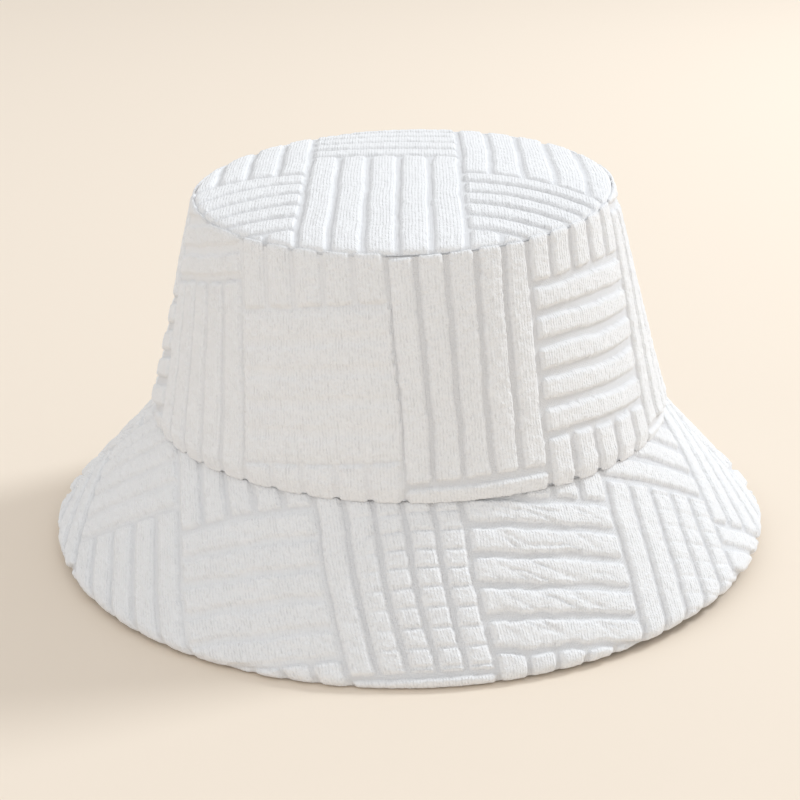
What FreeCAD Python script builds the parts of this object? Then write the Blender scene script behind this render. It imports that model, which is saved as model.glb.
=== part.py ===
"""Terry bucket hat, standing on the edge of its brim.

Frame: millimetres, +Z up, the hat's axis on Z, the front faces -Y.  The origin is the centre
of the circle on which the brim edge rests.  The hat is built in layers of cloth: an outer shell
of terry (tip, crown side and brim), an interlining inside the brim, a cotton lining with a
sweatband, the threads that sew them, and a care label that hangs from the lining at the back.
The crown side, the brim and the side lining are each cut as a front and a back half, and meet
at the side seams, on the X axis.
"""
import FreeCAD, Part
import math
import os
import Sketcher

os.makedirs("parts", exist_ok=True)
doc = FreeCAD.newDocument("bucket_hat")

# ---------------------------------------------------------------- driving dimensions
DIMENSIONS = (
    # head opening and shell
    ("head_circumference", 573.0),      # inside the sweatband: a size 57
    ("cloth", 2.6),                     # terry, over its ribs
    ("seam_height", 49.6),              # seam between crown side and brim
    ("seam_radius", 94.9),              # bottom of the valley over that seam
    ("inside_radius", 92.6),            # inner end of the brim layers
    ("foot_inset", 0.9),                # crown side's inner foot stands this far outside them
    ("wall_angle", 14.3),               # crown side against the vertical
    ("wall_foot_radius", 96.9),         # outer face of the crown side, above its puffed foot
    ("wall_foot_height", 56.5),
    ("inner_foot_rise", 2.0),           # inner face runs straight from this far above that
    ("foot_round", 5.0),                # puff of the crown side over the seam
    ("tip_seam_height", 130.4),         # seam between tip and crown side
    ("tip_seam_radius", 76.6),          # bottom of the groove along that seam
    ("seam_roll", 2.0),                 # rolled edge of the cloth beside that seam
    ("roll_drop", 1.6),                 # height that the roll takes up
    ("rim_inset", 1.7),                 # tip's rim turns down this far inside the groove
    ("crown_height", 137.0),            # middle of the tip
    ("tip_dome", 4.25),                 # rise of the tip from its rim to its middle
    # brim
    ("brim_slope", 48.8),               # brim below the horizontal
    ("edge_height", 2.6),               # centre of the turned edge over the floor
    ("interlining", 0.4),
    ("interlining_pocket", 0.5),        # room between the two brim cloths
    ("interlining_trim", 1.6),          # interlining stops this far short of the edge's centre
    ("side_seam_half_angle", 0.3),      # interlining is trimmed this far out of a side seam
    # lining and sweatband
    ("lining", 0.5),
    ("lining_gap", 0.8),                # between lining and shell, where seams are hidden
    ("lining_foot_height", 58.5),
    ("lining_top_height", 129.2),
    ("tip_lining_height", 128.3),
    ("tip_lining_radius", 74.2),
    ("sweatband", 1.2),
    ("sweatband_foot", 44.5),
    ("sweatband_bend", 57.0),           # cylinder below this height, cone above
    ("sweatband_top", 76.5),
    # threads
    ("thread_radius", 0.25),
    ("fine_thread_radius", 0.2),
    ("tip_thread_inset", 1.8),          # inside the tip seam's groove
    ("tip_thread_drop", 0.4),           # under the tip's rim
    ("crown_thread_inset", 0.35),       # outside the inner end of the brim layers
    ("crown_thread_rise", 0.3),         # over the brim seam
    ("lining_thread_inset", 0.3),       # inside the tip lining's edge
    ("lining_thread_drop", 0.35),       # under the tip lining
    ("lining_strand_gap", 0.1),         # between the lining and its side seams' strands
    ("strand_gap", 2.0),                # a side seam's strand stops this far from a piece above
    ("brim_strand_start", 2.6),         # from the edge's centre, up the brim
    ("brim_strand_short", 7.0),         # strand shorter than the brim by this
    ("topstitch", 0.25),                # how far the topstitching stands on the sweatband
    ("topstitch_width", 0.8),
    ("topstitch_inset", 3.0),           # from the sweatband's top edge
    # care label
    ("label_width", 25.0),
    ("label_length", 45.0),
    ("label_thickness", 0.4),
    ("label_face", 72.6),               # face of the label nearest the lining
    ("label_top", 126.9),
    ("label_clearance", 0.3),           # between label and the stitches that hold it
)

sheet = doc.addObject("Spreadsheet::Sheet", "dims")
for row, (alias, number) in enumerate(DIMENSIONS, start=1):
    sheet.set(f"A{row}", alias)
    sheet.set(f"B{row}", str(number))
    sheet.setAlias(f"B{row}", alias)
doc.recompute()


class Dim:
    """A size worked out from the sheet: its value now, and the expression that keeps it."""

    def __init__(self, value, text):
        self.value = value
        self.text = text

    def joined(self, sign, other, value):
        return Dim(value, f"({self.text} {sign} {as_dim(other).text})")

    def __add__(self, other):
        return self.joined("+", other, self.value + as_dim(other).value)

    def __sub__(self, other):
        return self.joined("-", other, self.value - as_dim(other).value)

    def __mul__(self, other):
        return self.joined("*", other, self.value * as_dim(other).value)

    def __truediv__(self, other):
        return self.joined("/", other, self.value / as_dim(other).value)


def as_dim(size):
    """A Dim as it is, or a plain number as a Dim."""
    return size if isinstance(size, Dim) else Dim(float(size), repr(float(size)))


def root(size):
    return Dim(math.sqrt(size.value), f"sqrt({size.text})")


def sine(angle):
    return Dim(math.sin(math.radians(angle.value)), f"sin({angle.text} * 1 deg)")


def cosine(angle):
    return Dim(math.cos(math.radians(angle.value)), f"cos({angle.text} * 1 deg)")


SIZES = {alias: Dim(number, f"dims.{alias}") for alias, number in DIMENSIONS}
ZERO = as_dim(0)
RIGHT_ANGLE = 90


# ---------------------------------------------------------------- shared outlines
def wall_radius(height, depth=ZERO):
    """Radius of the crown side at a height, at a depth below its outer face."""
    lean = (height - SIZES["wall_foot_height"]) * sine(SIZES["wall_angle"])
    return SIZES["wall_foot_radius"] - (lean + depth) / cosine(SIZES["wall_angle"])


slope_cos = cosine(SIZES["brim_slope"])
slope_sin = sine(SIZES["brim_slope"])
brim_half = SIZES["cloth"] + SIZES["interlining_pocket"] / 2
edge_centre_radius = (
    SIZES["seam_radius"]
    - brim_half * slope_sin
    + (SIZES["seam_height"] - brim_half * slope_cos - SIZES["edge_height"]) * slope_cos / slope_sin
)
rest_half_width = root(brim_half * brim_half - SIZES["edge_height"] * SIZES["edge_height"])


def brim_point(along, above):
    """Point by the brim's middle surface: along it from the edge's centre, and above it."""
    radius = edge_centre_radius - along * slope_cos + above * slope_sin
    height = SIZES["edge_height"] + along * slope_sin + above * slope_cos
    return radius, height


def brim_height_at_inside(above):
    """Height where a layer line, above the brim's middle surface, meets the inner end."""
    offset_radius = edge_centre_radius + above * slope_sin - SIZES["inside_radius"]
    return SIZES["edge_height"] + above * slope_cos + offset_radius * slope_sin / slope_cos


# ---------------------------------------------------------------- building blocks
def dome_radius(half_chord, rise):
    """Radius of a shallow arc that rises this much over half its chord."""
    return (half_chord * half_chord + rise * rise) / (rise * 2)


def arc_between(start, end, radius, side):
    """The shorter arc of this radius from start to end; side 1 bulges left of the way, -1 right."""
    chord = end - start
    sagitta = radius - math.sqrt(radius ** 2 - (chord.Length / 2) ** 2)
    left = FreeCAD.Vector(-chord.y, chord.x, 0).normalize()
    return Part.Arc(start, (start + end) / 2 + left * (sagitta * side), end)


def profile(body, corners, arcs):
    """Closed outline in the body's XZ plane, every corner held by the sheet.

    corners are (radius, height) pairs; arcs gives, by corner number, the radius and the side of
    the arc that leaves that corner, where the outline isn't straight.
    """
    sketch = body.newObject("Sketcher::SketchObject", body.Name + "_profile")
    planes = [item for item in body.Origin.OriginFeatures if item.Role == "XZ_Plane"]
    sketch.AttachmentSupport = [(planes[0], "")]
    sketch.MapMode = "FlatFace"
    places = [FreeCAD.Vector(radius.value, height.value, 0) for radius, height in corners]
    ends = []
    for number, start in enumerate(places):
        end = places[(number + 1) % len(places)]
        if number in arcs:
            radius, side = arcs[number]
            edge = sketch.addGeometry(arc_between(start, end, radius.value, side), False)
        else:
            edge = sketch.addGeometry(Part.LineSegment(start, end), False)
        turned = (sketch.getPoint(edge, 1) - start).Length > (sketch.getPoint(edge, 2) - start).Length
        ends.append((edge, 2, 1) if turned else (edge, 1, 2))
    for number, (edge, _, tail) in enumerate(ends):
        following, head, _ = ends[(number + 1) % len(ends)]
        sketch.addConstraint(Sketcher.Constraint("Coincident", edge, tail, following, head))
    for number, (radius, height) in enumerate(corners):
        edge, head, _ = ends[number]
        if radius.value == 0:
            sketch.addConstraint(Sketcher.Constraint("PointOnObject", edge, head, -2))
        else:
            bind(sketch, "DistanceX", edge, head, radius)
        if height.value == 0:
            sketch.addConstraint(Sketcher.Constraint("PointOnObject", edge, head, -1))
        else:
            bind(sketch, "DistanceY", edge, head, height)
    for number, (radius, _) in arcs.items():
        edge = ends[number][0]
        index = sketch.addConstraint(Sketcher.Constraint("Radius", edge, radius.value))
        sketch.setExpression(f"Constraints[{index}]", radius.text)
    return sketch


def bind(sketch, kind, edge, point, size):
    """Hold one coordinate of a sketch point by an expression."""
    index = sketch.addConstraint(Sketcher.Constraint(kind, -1, 1, edge, point, size.value))
    sketch.setExpression(f"Constraints[{index}]", size.text)


def turned_piece(name, corners, arcs=None, half=None, trim=None):
    """A body turned about Z: whole, or the front or back half; trim takes an angle off each end."""
    body = doc.addObject("PartDesign::Body", name)
    body.Label = name
    turn = body.newObject("PartDesign::Revolution", name + "_turn")
    turn.Profile = profile(body, corners, arcs or {})
    turn.ReferenceAxis = (turn.Profile[0], ["V_Axis"])
    turn.Angle = 360.0 if half is None else 180.0
    turn.Reversed = half == "front"
    body.Placement = FreeCAD.Placement()
    if trim is not None:
        turn.setExpression("Angle", f"180 deg - 2 deg * {trim.text}")
        sign = "-" if half == "front" else ""
        body.setExpression("Placement.Rotation.Angle", f"{sign}{trim.text} * 1 deg")
    return body


def thread_ring(name, radius, height, thickness):
    """A seam's thread, drawn as one strand round the hat."""
    ring = doc.addObject("Part::Torus", name)
    ring.Label = name
    ring.setExpression("Radius1", radius.text)
    ring.setExpression("Radius2", thickness.text)
    ring.Placement = FreeCAD.Placement()
    ring.setExpression("Placement.Base.z", height.text)
    return ring


def side_threads(name, foot, tilt, length, thickness):
    """Straight strands up both side seams, from foot (radius, height), tilted off the vertical."""
    strands = []
    for side, word in ((1, "right"), (-1, "left")):
        strand = doc.addObject("Part::Cylinder", f"{name}_{word}")
        strand.Placement = FreeCAD.Placement(
            FreeCAD.Vector(0, 0, 0), FreeCAD.Rotation(FreeCAD.Vector(0, 1, 0), side * tilt.value)
        )
        strand.setExpression("Radius", thickness.text)
        strand.setExpression("Height", length.text)
        strand.setExpression("Placement.Base.x", f"{side} * {foot[0].text}")
        strand.setExpression("Placement.Base.z", foot[1].text)
        strands.append(strand)
    pair = doc.addObject("Part::Compound", name)
    pair.Label = name
    pair.Links = strands
    pair.Placement = FreeCAD.Placement()
    return pair


def flat_piece(name, width, thickness, length, back_face, top):
    """An upright flat strip centred on the YZ plane, its back face and top edge given."""
    strip = doc.addObject("Part::Box", name)
    strip.Label = name
    strip.Placement = FreeCAD.Placement()
    strip.setExpression("Length", width.text)
    strip.setExpression("Width", thickness.text)
    strip.setExpression("Height", length.text)
    strip.setExpression("Placement.Base.x", f"-{width.text} / 2")
    strip.setExpression("Placement.Base.y", (back_face - thickness).text)
    strip.setExpression("Placement.Base.z", (top - length).text)
    return strip


# ---------------------------------------------------------------- outer shell
def crown_tip():
    """Round top panel: slightly domed, its rim rolled over the seam."""
    rim_radius = SIZES["tip_seam_radius"] - SIZES["rim_inset"]
    rim_height = SIZES["crown_height"] - SIZES["tip_dome"]
    under_rim = SIZES["tip_seam_radius"] - SIZES["cloth"]
    under_middle = SIZES["crown_height"] - SIZES["cloth"]
    corners = (
        (ZERO, under_middle),
        (under_rim, SIZES["tip_seam_height"]),
        (SIZES["tip_seam_radius"], SIZES["tip_seam_height"]),
        (rim_radius, rim_height),
        (ZERO, SIZES["crown_height"]),
    )
    arcs = {
        0: (dome_radius(under_rim, under_middle - SIZES["tip_seam_height"]), 1),
        2: (SIZES["seam_roll"], -1),
        3: (dome_radius(rim_radius, SIZES["tip_dome"]), -1),
    }
    return [turned_piece("crown_tip", corners, arcs)]


def crown_side():
    """Front and back wall of the crown, from the brim seam up to the tip seam."""
    shoulder = SIZES["tip_seam_height"] - SIZES["roll_drop"]
    inner_foot = SIZES["wall_foot_height"] + SIZES["inner_foot_rise"]
    corners = (
        (SIZES["inside_radius"] + SIZES["foot_inset"], SIZES["seam_height"]),
        (SIZES["seam_radius"], SIZES["seam_height"]),
        (SIZES["wall_foot_radius"], SIZES["wall_foot_height"]),
        (wall_radius(shoulder), shoulder),
        (SIZES["tip_seam_radius"], SIZES["tip_seam_height"]),
        (wall_radius(SIZES["tip_seam_height"], SIZES["cloth"]), SIZES["tip_seam_height"]),
        (wall_radius(inner_foot, SIZES["cloth"]), inner_foot),
    )
    arcs = {1: (SIZES["foot_round"], -1), 3: (SIZES["seam_roll"], -1)}
    return [turned_piece(f"crown_side_{half}", corners, arcs, half) for half in ("front", "back")]


def brim_upper():
    """Upper cloth of the brim, wrapped round the edge down to the flat on which the hat rests."""
    above = SIZES["interlining_pocket"] / 2
    corners = (
        (SIZES["inside_radius"], SIZES["seam_height"]),
        (SIZES["inside_radius"], brim_height_at_inside(above)),
        brim_point(ZERO, above),
        (edge_centre_radius, SIZES["edge_height"]),
        (edge_centre_radius - rest_half_width, ZERO),
        (edge_centre_radius + rest_half_width, ZERO),
        brim_point(ZERO, brim_half),
        (SIZES["seam_radius"], SIZES["seam_height"]),
    )
    arcs = {5: (brim_half, -1)}
    return [turned_piece(f"brim_upper_{half}", corners, arcs, half) for half in ("front", "back")]


def brim_under():
    """Under cloth of the brim, seamed to the upper cloth inside the edge."""
    below = ZERO - SIZES["interlining_pocket"] / 2
    corners = (
        (SIZES["inside_radius"], brim_height_at_inside(below)),
        (SIZES["inside_radius"], brim_height_at_inside(ZERO - brim_half)),
        brim_point(ZERO, ZERO - brim_half),
        (edge_centre_radius - rest_half_width, ZERO),
        (edge_centre_radius, SIZES["edge_height"]),
        brim_point(ZERO, below),
    )
    arcs = {2: (brim_half, -1)}
    return [turned_piece(f"brim_under_{half}", corners, arcs, half) for half in ("front", "back")]


def brim_interlining():
    """Stiff layer between the brim cloths, trimmed out of the side seams and the edge."""
    above = SIZES["interlining"] / 2
    corners = (
        (SIZES["inside_radius"], brim_height_at_inside(ZERO - above)),
        brim_point(SIZES["interlining_trim"], ZERO - above),
        brim_point(SIZES["interlining_trim"], above),
        (SIZES["inside_radius"], brim_height_at_inside(above)),
    )
    trim = SIZES["side_seam_half_angle"]
    return [
        turned_piece(f"brim_interlining_{half}", corners, None, half, trim)
        for half in ("front", "back")
    ]


# ---------------------------------------------------------------- lining, sweatband and label
def side_lining():
    """Front and back half of the lining, parallel to the crown side."""
    outer = SIZES["cloth"] + SIZES["lining_gap"]
    inner = outer + SIZES["lining"]
    foot = SIZES["lining_foot_height"]
    top = SIZES["lining_top_height"]
    corners = (
        (wall_radius(foot, inner), foot),
        (wall_radius(foot, outer), foot),
        (wall_radius(top, outer), top),
        (wall_radius(top, inner), top),
    )
    return [turned_piece(f"lining_side_{half}", corners, None, half) for half in ("front", "back")]


def tip_lining():
    """Flat round lining under the tip."""
    disc = doc.addObject("PartDesign::Body", "lining_tip")
    disc.Label = "lining_tip"
    sketch = disc.newObject("Sketcher::SketchObject", "lining_tip_profile")
    planes = [item for item in disc.Origin.OriginFeatures if item.Role == "XY_Plane"]
    sketch.AttachmentSupport = [(planes[0], "")]
    sketch.MapMode = "FlatFace"
    radius = SIZES["tip_lining_radius"]
    circle = Part.Circle(FreeCAD.Vector(0, 0, 0), FreeCAD.Vector(0, 0, 1), radius.value)
    edge = sketch.addGeometry(circle, False)
    sketch.addConstraint(Sketcher.Constraint("Coincident", edge, 3, -1, 1))
    index = sketch.addConstraint(Sketcher.Constraint("Radius", edge, radius.value))
    sketch.setExpression(f"Constraints[{index}]", radius.text)
    pad = disc.newObject("PartDesign::Pad", "lining_tip_pad")
    pad.Profile = sketch
    pad.setExpression("Length", SIZES["lining"].text)
    disc.Placement = FreeCAD.Placement()
    disc.setExpression("Placement.Base.z", SIZES["tip_lining_height"].text)
    return [disc]


def sweatband():
    """Band inside the head opening: a cylinder at the head size, then a cone along the wall."""
    inner = SIZES["head_circumference"] / (2 * math.pi)
    outer = inner + SIZES["sweatband"]
    rise = SIZES["sweatband_top"] - SIZES["sweatband_bend"]
    lean = rise * sine(SIZES["wall_angle"]) / cosine(SIZES["wall_angle"])
    corners = (
        (inner, SIZES["sweatband_foot"]),
        (outer, SIZES["sweatband_foot"]),
        (outer, SIZES["sweatband_bend"]),
        (outer - lean, SIZES["sweatband_top"]),
        (inner - lean, SIZES["sweatband_top"]),
        (inner, SIZES["sweatband_bend"]),
    )
    return [turned_piece("sweatband", corners)]


def care_label():
    """Blank label that hangs by its top edge, and the row of stitches that holds it."""
    label = flat_piece(
        "care_label",
        SIZES["label_width"],
        SIZES["label_thickness"],
        SIZES["label_length"],
        SIZES["label_face"],
        SIZES["label_top"],
    )
    stitch_size = SIZES["label_clearance"]
    stitches = flat_piece(
        "care_label_stitches",
        SIZES["label_width"],
        stitch_size,
        stitch_size,
        SIZES["label_face"],
        SIZES["label_top"] + SIZES["label_clearance"] + stitch_size,
    )
    return [label, stitches]


# ---------------------------------------------------------------- threads
def shell_threads():
    """Threads of the tip, crown, brim and edge seams, inside the cloth where they are sewn."""
    thread = SIZES["thread_radius"]
    fine = SIZES["fine_thread_radius"]
    tip_radius = SIZES["tip_seam_radius"] - SIZES["tip_thread_inset"]
    tip_height = SIZES["tip_seam_height"] - SIZES["tip_thread_drop"]
    tip_seam = thread_ring("tip_seam_thread", tip_radius, tip_height, thread)
    crown_radius = SIZES["inside_radius"] + SIZES["crown_thread_inset"]
    crown_height = SIZES["seam_height"] + SIZES["crown_thread_rise"]
    crown_seam = thread_ring("crown_brim_seam_thread", crown_radius, crown_height, thread)
    edge_radius, edge_height = brim_point(SIZES["interlining_trim"] / 2, ZERO)
    edge_seam = thread_ring("brim_edge_seam_thread", edge_radius, edge_height, fine)
    middle_depth = SIZES["cloth"] + SIZES["lining_gap"] / 2
    wall_foot = SIZES["lining_foot_height"]
    wall_top = SIZES["tip_seam_height"] - SIZES["strand_gap"]
    wall_length = (wall_top - wall_foot) / cosine(SIZES["wall_angle"])
    wall_seams = side_threads(
        "crown_side_seam_threads",
        (wall_radius(wall_foot, middle_depth), wall_foot),
        ZERO - SIZES["wall_angle"],
        wall_length,
        thread,
    )
    brim_length = (SIZES["seam_height"] - SIZES["edge_height"]) / slope_sin - SIZES["brim_strand_short"]
    brim_seams = side_threads(
        "brim_side_seam_threads",
        brim_point(SIZES["brim_strand_start"], ZERO),
        SIZES["brim_slope"] - RIGHT_ANGLE,
        brim_length,
        fine,
    )
    return [tip_seam, crown_seam, edge_seam, wall_seams, brim_seams]


def lining_threads():
    """Threads of the lining's seams and the topstitching near the sweatband's free edge."""
    fine = SIZES["fine_thread_radius"]
    ring_radius = SIZES["tip_lining_radius"] - SIZES["lining_thread_inset"]
    ring_height = SIZES["tip_lining_height"] - SIZES["lining_thread_drop"]
    tip_seam = thread_ring("lining_tip_seam_thread", ring_radius, ring_height, fine)
    depth = SIZES["cloth"] + SIZES["lining_gap"] + SIZES["lining"] + SIZES["lining_strand_gap"] + fine
    foot = SIZES["sweatband_top"] + SIZES["strand_gap"]
    length = (SIZES["tip_lining_height"] - SIZES["strand_gap"] - foot) / cosine(SIZES["wall_angle"])
    side_seams = side_threads(
        "lining_side_seam_threads",
        (wall_radius(foot, depth), foot),
        ZERO - SIZES["wall_angle"],
        length,
        fine,
    )
    tangent = sine(SIZES["wall_angle"]) / cosine(SIZES["wall_angle"])
    high = SIZES["sweatband_top"] - SIZES["topstitch_inset"]
    low = high - SIZES["topstitch_width"]
    inner = SIZES["head_circumference"] / (2 * math.pi)
    high_radius = inner - (high - SIZES["sweatband_bend"]) * tangent
    low_radius = inner - (low - SIZES["sweatband_bend"]) * tangent
    corners = (
        (low_radius - SIZES["topstitch"], low),
        (low_radius, low),
        (high_radius, high),
        (high_radius - SIZES["topstitch"], high),
    )
    return [tip_seam, side_seams, turned_piece("sweatband_topstitch", corners)]


# ---------------------------------------------------------------- build, test and write
pieces = (
    crown_tip()
    + crown_side()
    + brim_upper()
    + brim_under()
    + brim_interlining()
    + side_lining()
    + tip_lining()
    + sweatband()
    + care_label()
    + shell_threads()
    + lining_threads()
)
doc.recompute()

for item in doc.Objects:
    if "Invalid" in item.State or "Error" in item.State:
        raise RuntimeError(f"{item.Name} failed: {item.State}")
for piece in pieces:
    if piece.Shape.isNull() or not piece.Shape.isValid():
        raise RuntimeError(f"{piece.Label} has no valid shape")
for piece in pieces:
    piece.Shape.exportStep(f"parts/{piece.Label}.step")
    print(f"{piece.Label}: {piece.Shape.Volume:.1f} mm3, solids {len(piece.Shape.Solids)}")
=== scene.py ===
"""Looks of a white terry bucket hat that stands on the edge of its brim.

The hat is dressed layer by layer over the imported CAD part: crown tip, crown side and brim in
terry with a raised basket weave, the brim's interlining, a cotton lining, a twill sweatband, the
threads that sew them and a satin care label.  Lengths are in metres.  The hat's axis is Z and
its front faces -Y.
"""
import logging
import math
from dataclasses import dataclass, field
from enum import Enum

import bmesh
import bpy
import numpy as np
from mathutils import Matrix, Vector


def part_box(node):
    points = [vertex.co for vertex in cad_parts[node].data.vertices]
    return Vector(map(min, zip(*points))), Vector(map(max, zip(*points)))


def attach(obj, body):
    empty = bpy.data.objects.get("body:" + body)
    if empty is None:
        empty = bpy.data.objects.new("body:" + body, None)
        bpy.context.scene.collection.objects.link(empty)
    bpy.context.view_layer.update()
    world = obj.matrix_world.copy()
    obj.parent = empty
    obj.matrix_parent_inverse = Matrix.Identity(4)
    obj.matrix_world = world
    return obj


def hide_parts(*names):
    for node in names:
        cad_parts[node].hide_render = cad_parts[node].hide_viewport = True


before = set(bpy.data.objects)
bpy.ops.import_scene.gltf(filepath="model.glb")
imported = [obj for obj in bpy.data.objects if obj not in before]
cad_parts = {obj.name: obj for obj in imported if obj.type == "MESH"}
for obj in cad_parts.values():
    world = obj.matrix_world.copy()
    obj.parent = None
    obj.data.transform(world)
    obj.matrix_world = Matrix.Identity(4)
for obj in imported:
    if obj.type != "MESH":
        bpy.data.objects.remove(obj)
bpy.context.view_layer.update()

LOG = logging.getLogger("bucket_hat")
MM = 0.001
HAT = "hat"
LABEL = "care_label"
NOISE_CELLS = 64
INNER_STEP = 3
TINY = 1e-12


class Half(Enum):
    """The two halves that the crown side, the brim and the side lining are cut in."""

    FRONT = "front"
    BACK = "back"

    @property
    def turn(self) -> float:
        """Angle round the hat's axis of the middle of this half."""
        return 0.0 if self is Half.FRONT else math.pi


# ------------------------------------------------------------------ small cloth mathematics

def smooth_step(part: np.ndarray) -> np.ndarray:
    """A climb from 0 to 1 that starts and ends level."""
    return part * part * (3 - 2 * part)


def soft_noise(x: np.ndarray, y: np.ndarray, cell: float, seed: int) -> np.ndarray:
    """Smooth noise over the cloth.

    Args:
        x: places across the cloth.
        y: places along the cloth.
        cell: distance over which the noise changes.
        seed: which noise.

    Returns:
        Values from -1 to 1.
    """
    table = np.random.default_rng(seed).uniform(-1, 1, (NOISE_CELLS, NOISE_CELLS))
    column, row = np.floor(x / cell), np.floor(y / cell)
    part_x, part_y = smooth_step(x / cell - column), smooth_step(y / cell - row)
    i, j = column.astype(int) % NOISE_CELLS, row.astype(int) % NOISE_CELLS
    i_next, j_next = (i + 1) % NOISE_CELLS, (j + 1) % NOISE_CELLS
    low = table[j, i] * (1 - part_x) + table[j, i_next] * part_x
    high = table[j_next, i] * (1 - part_x) + table[j_next, i_next] * part_x
    return low * (1 - part_y) + high * part_y


def layered_noise(x: np.ndarray, y: np.ndarray, layers: tuple[tuple[float, float], ...], seed: int
                  ) -> np.ndarray:
    """Noise of several sizes, added up.

    Args:
        x: places across the cloth.
        y: places along the cloth.
        layers: each layer's strength and the distance over which it changes.
        seed: which noise the first layer is; each later one takes the next.

    Returns:
        The sum of the layers.
    """
    return sum(strength * soft_noise(x, y, cell, seed + k) for k, (strength, cell) in enumerate(layers))


def inside_distance(x: np.ndarray, y: np.ndarray, half_x: np.ndarray | float,
                    half_y: np.ndarray | float, corner: float) -> np.ndarray:
    """How far points lie inside a round-cornered rectangle centred on zero.

    Args:
        x: places across.
        y: places along.
        half_x: half of the rectangle's width.
        half_y: half of its length.
        corner: radius of its corners.

    Returns:
        Distances to the outline, negative outside.
    """
    past_x = np.abs(x) - half_x + corner
    past_y = np.abs(y) - half_y + corner
    outside = np.hypot(np.maximum(past_x, 0), np.maximum(past_y, 0))
    return corner - outside - np.minimum(np.maximum(past_x, past_y), 0)


def notch(distance: np.ndarray, width: float) -> np.ndarray:
    """A smooth bump of height 1 at distance zero that is gone after about two widths."""
    return np.exp(-((distance / width) ** 2))


def ease(low: float, high: float, value: np.ndarray) -> np.ndarray:
    """0 below low, 1 above high and a smooth climb between them."""
    return smooth_step(np.clip((value - low) / (high - low), 0, 1))


@dataclass
class Contour:
    """A rounded outline in a plane through the axis, read by the share of its length.

    Attributes:
        corners: radius and height of its corners, in order.
        softness: how far the corners are rounded.
        fineness: distance between the points that the outline is kept as.
    """

    corners: list[tuple[float, float]]
    softness: float
    fineness: float = 0.1 * MM

    def __post_init__(self) -> None:
        """Rounds the outline and measures along it."""
        corners = np.array(self.corners, float)
        runs = np.hypot(*np.diff(corners, axis=0).T)
        along = np.concatenate([[0], np.cumsum(runs)])
        count = int(along[-1] / self.fineness) + 1
        places = np.linspace(0, along[-1], count)
        line = np.stack([np.interp(places, along, corners[:, k]) for k in (0, 1)], axis=1)
        step = along[-1] / (count - 1)
        reach = max(1, int(3 * self.softness / step))
        weights = notch(np.arange(-reach, reach + 1) * step, self.softness * math.sqrt(2))
        before = 2 * line[0] - line[reach:0:-1]
        after = 2 * line[-1] - line[-2:-reach - 2:-1]
        padded = np.concatenate([before, line, after])
        weights /= weights.sum()
        self.line = np.stack([np.convolve(padded[:, k], weights, "valid") for k in (0, 1)], axis=1)
        runs = np.hypot(*np.diff(self.line, axis=0).T)
        self.along = np.concatenate([[0], np.cumsum(runs)])
        self.length = float(self.along[-1])

    def at(self, share: np.ndarray) -> tuple[np.ndarray, np.ndarray]:
        """Radius and height at a share of the outline's length, from 0 to 1."""
        place = share * self.length
        return (np.interp(place, self.along, self.line[:, 0]),
                np.interp(place, self.along, self.line[:, 1]))


def surface_normals(points: np.ndarray) -> np.ndarray:
    """Unit normals of a grid of points, on the side that a plane grid shows upwards."""
    across = np.gradient(points, axis=1)
    along = np.gradient(points, axis=0)
    normals = np.cross(across, along)
    return normals / np.maximum(np.linalg.norm(normals, axis=2, keepdims=True), TINY)


# ------------------------------------------------------------------ the basket weave

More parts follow.
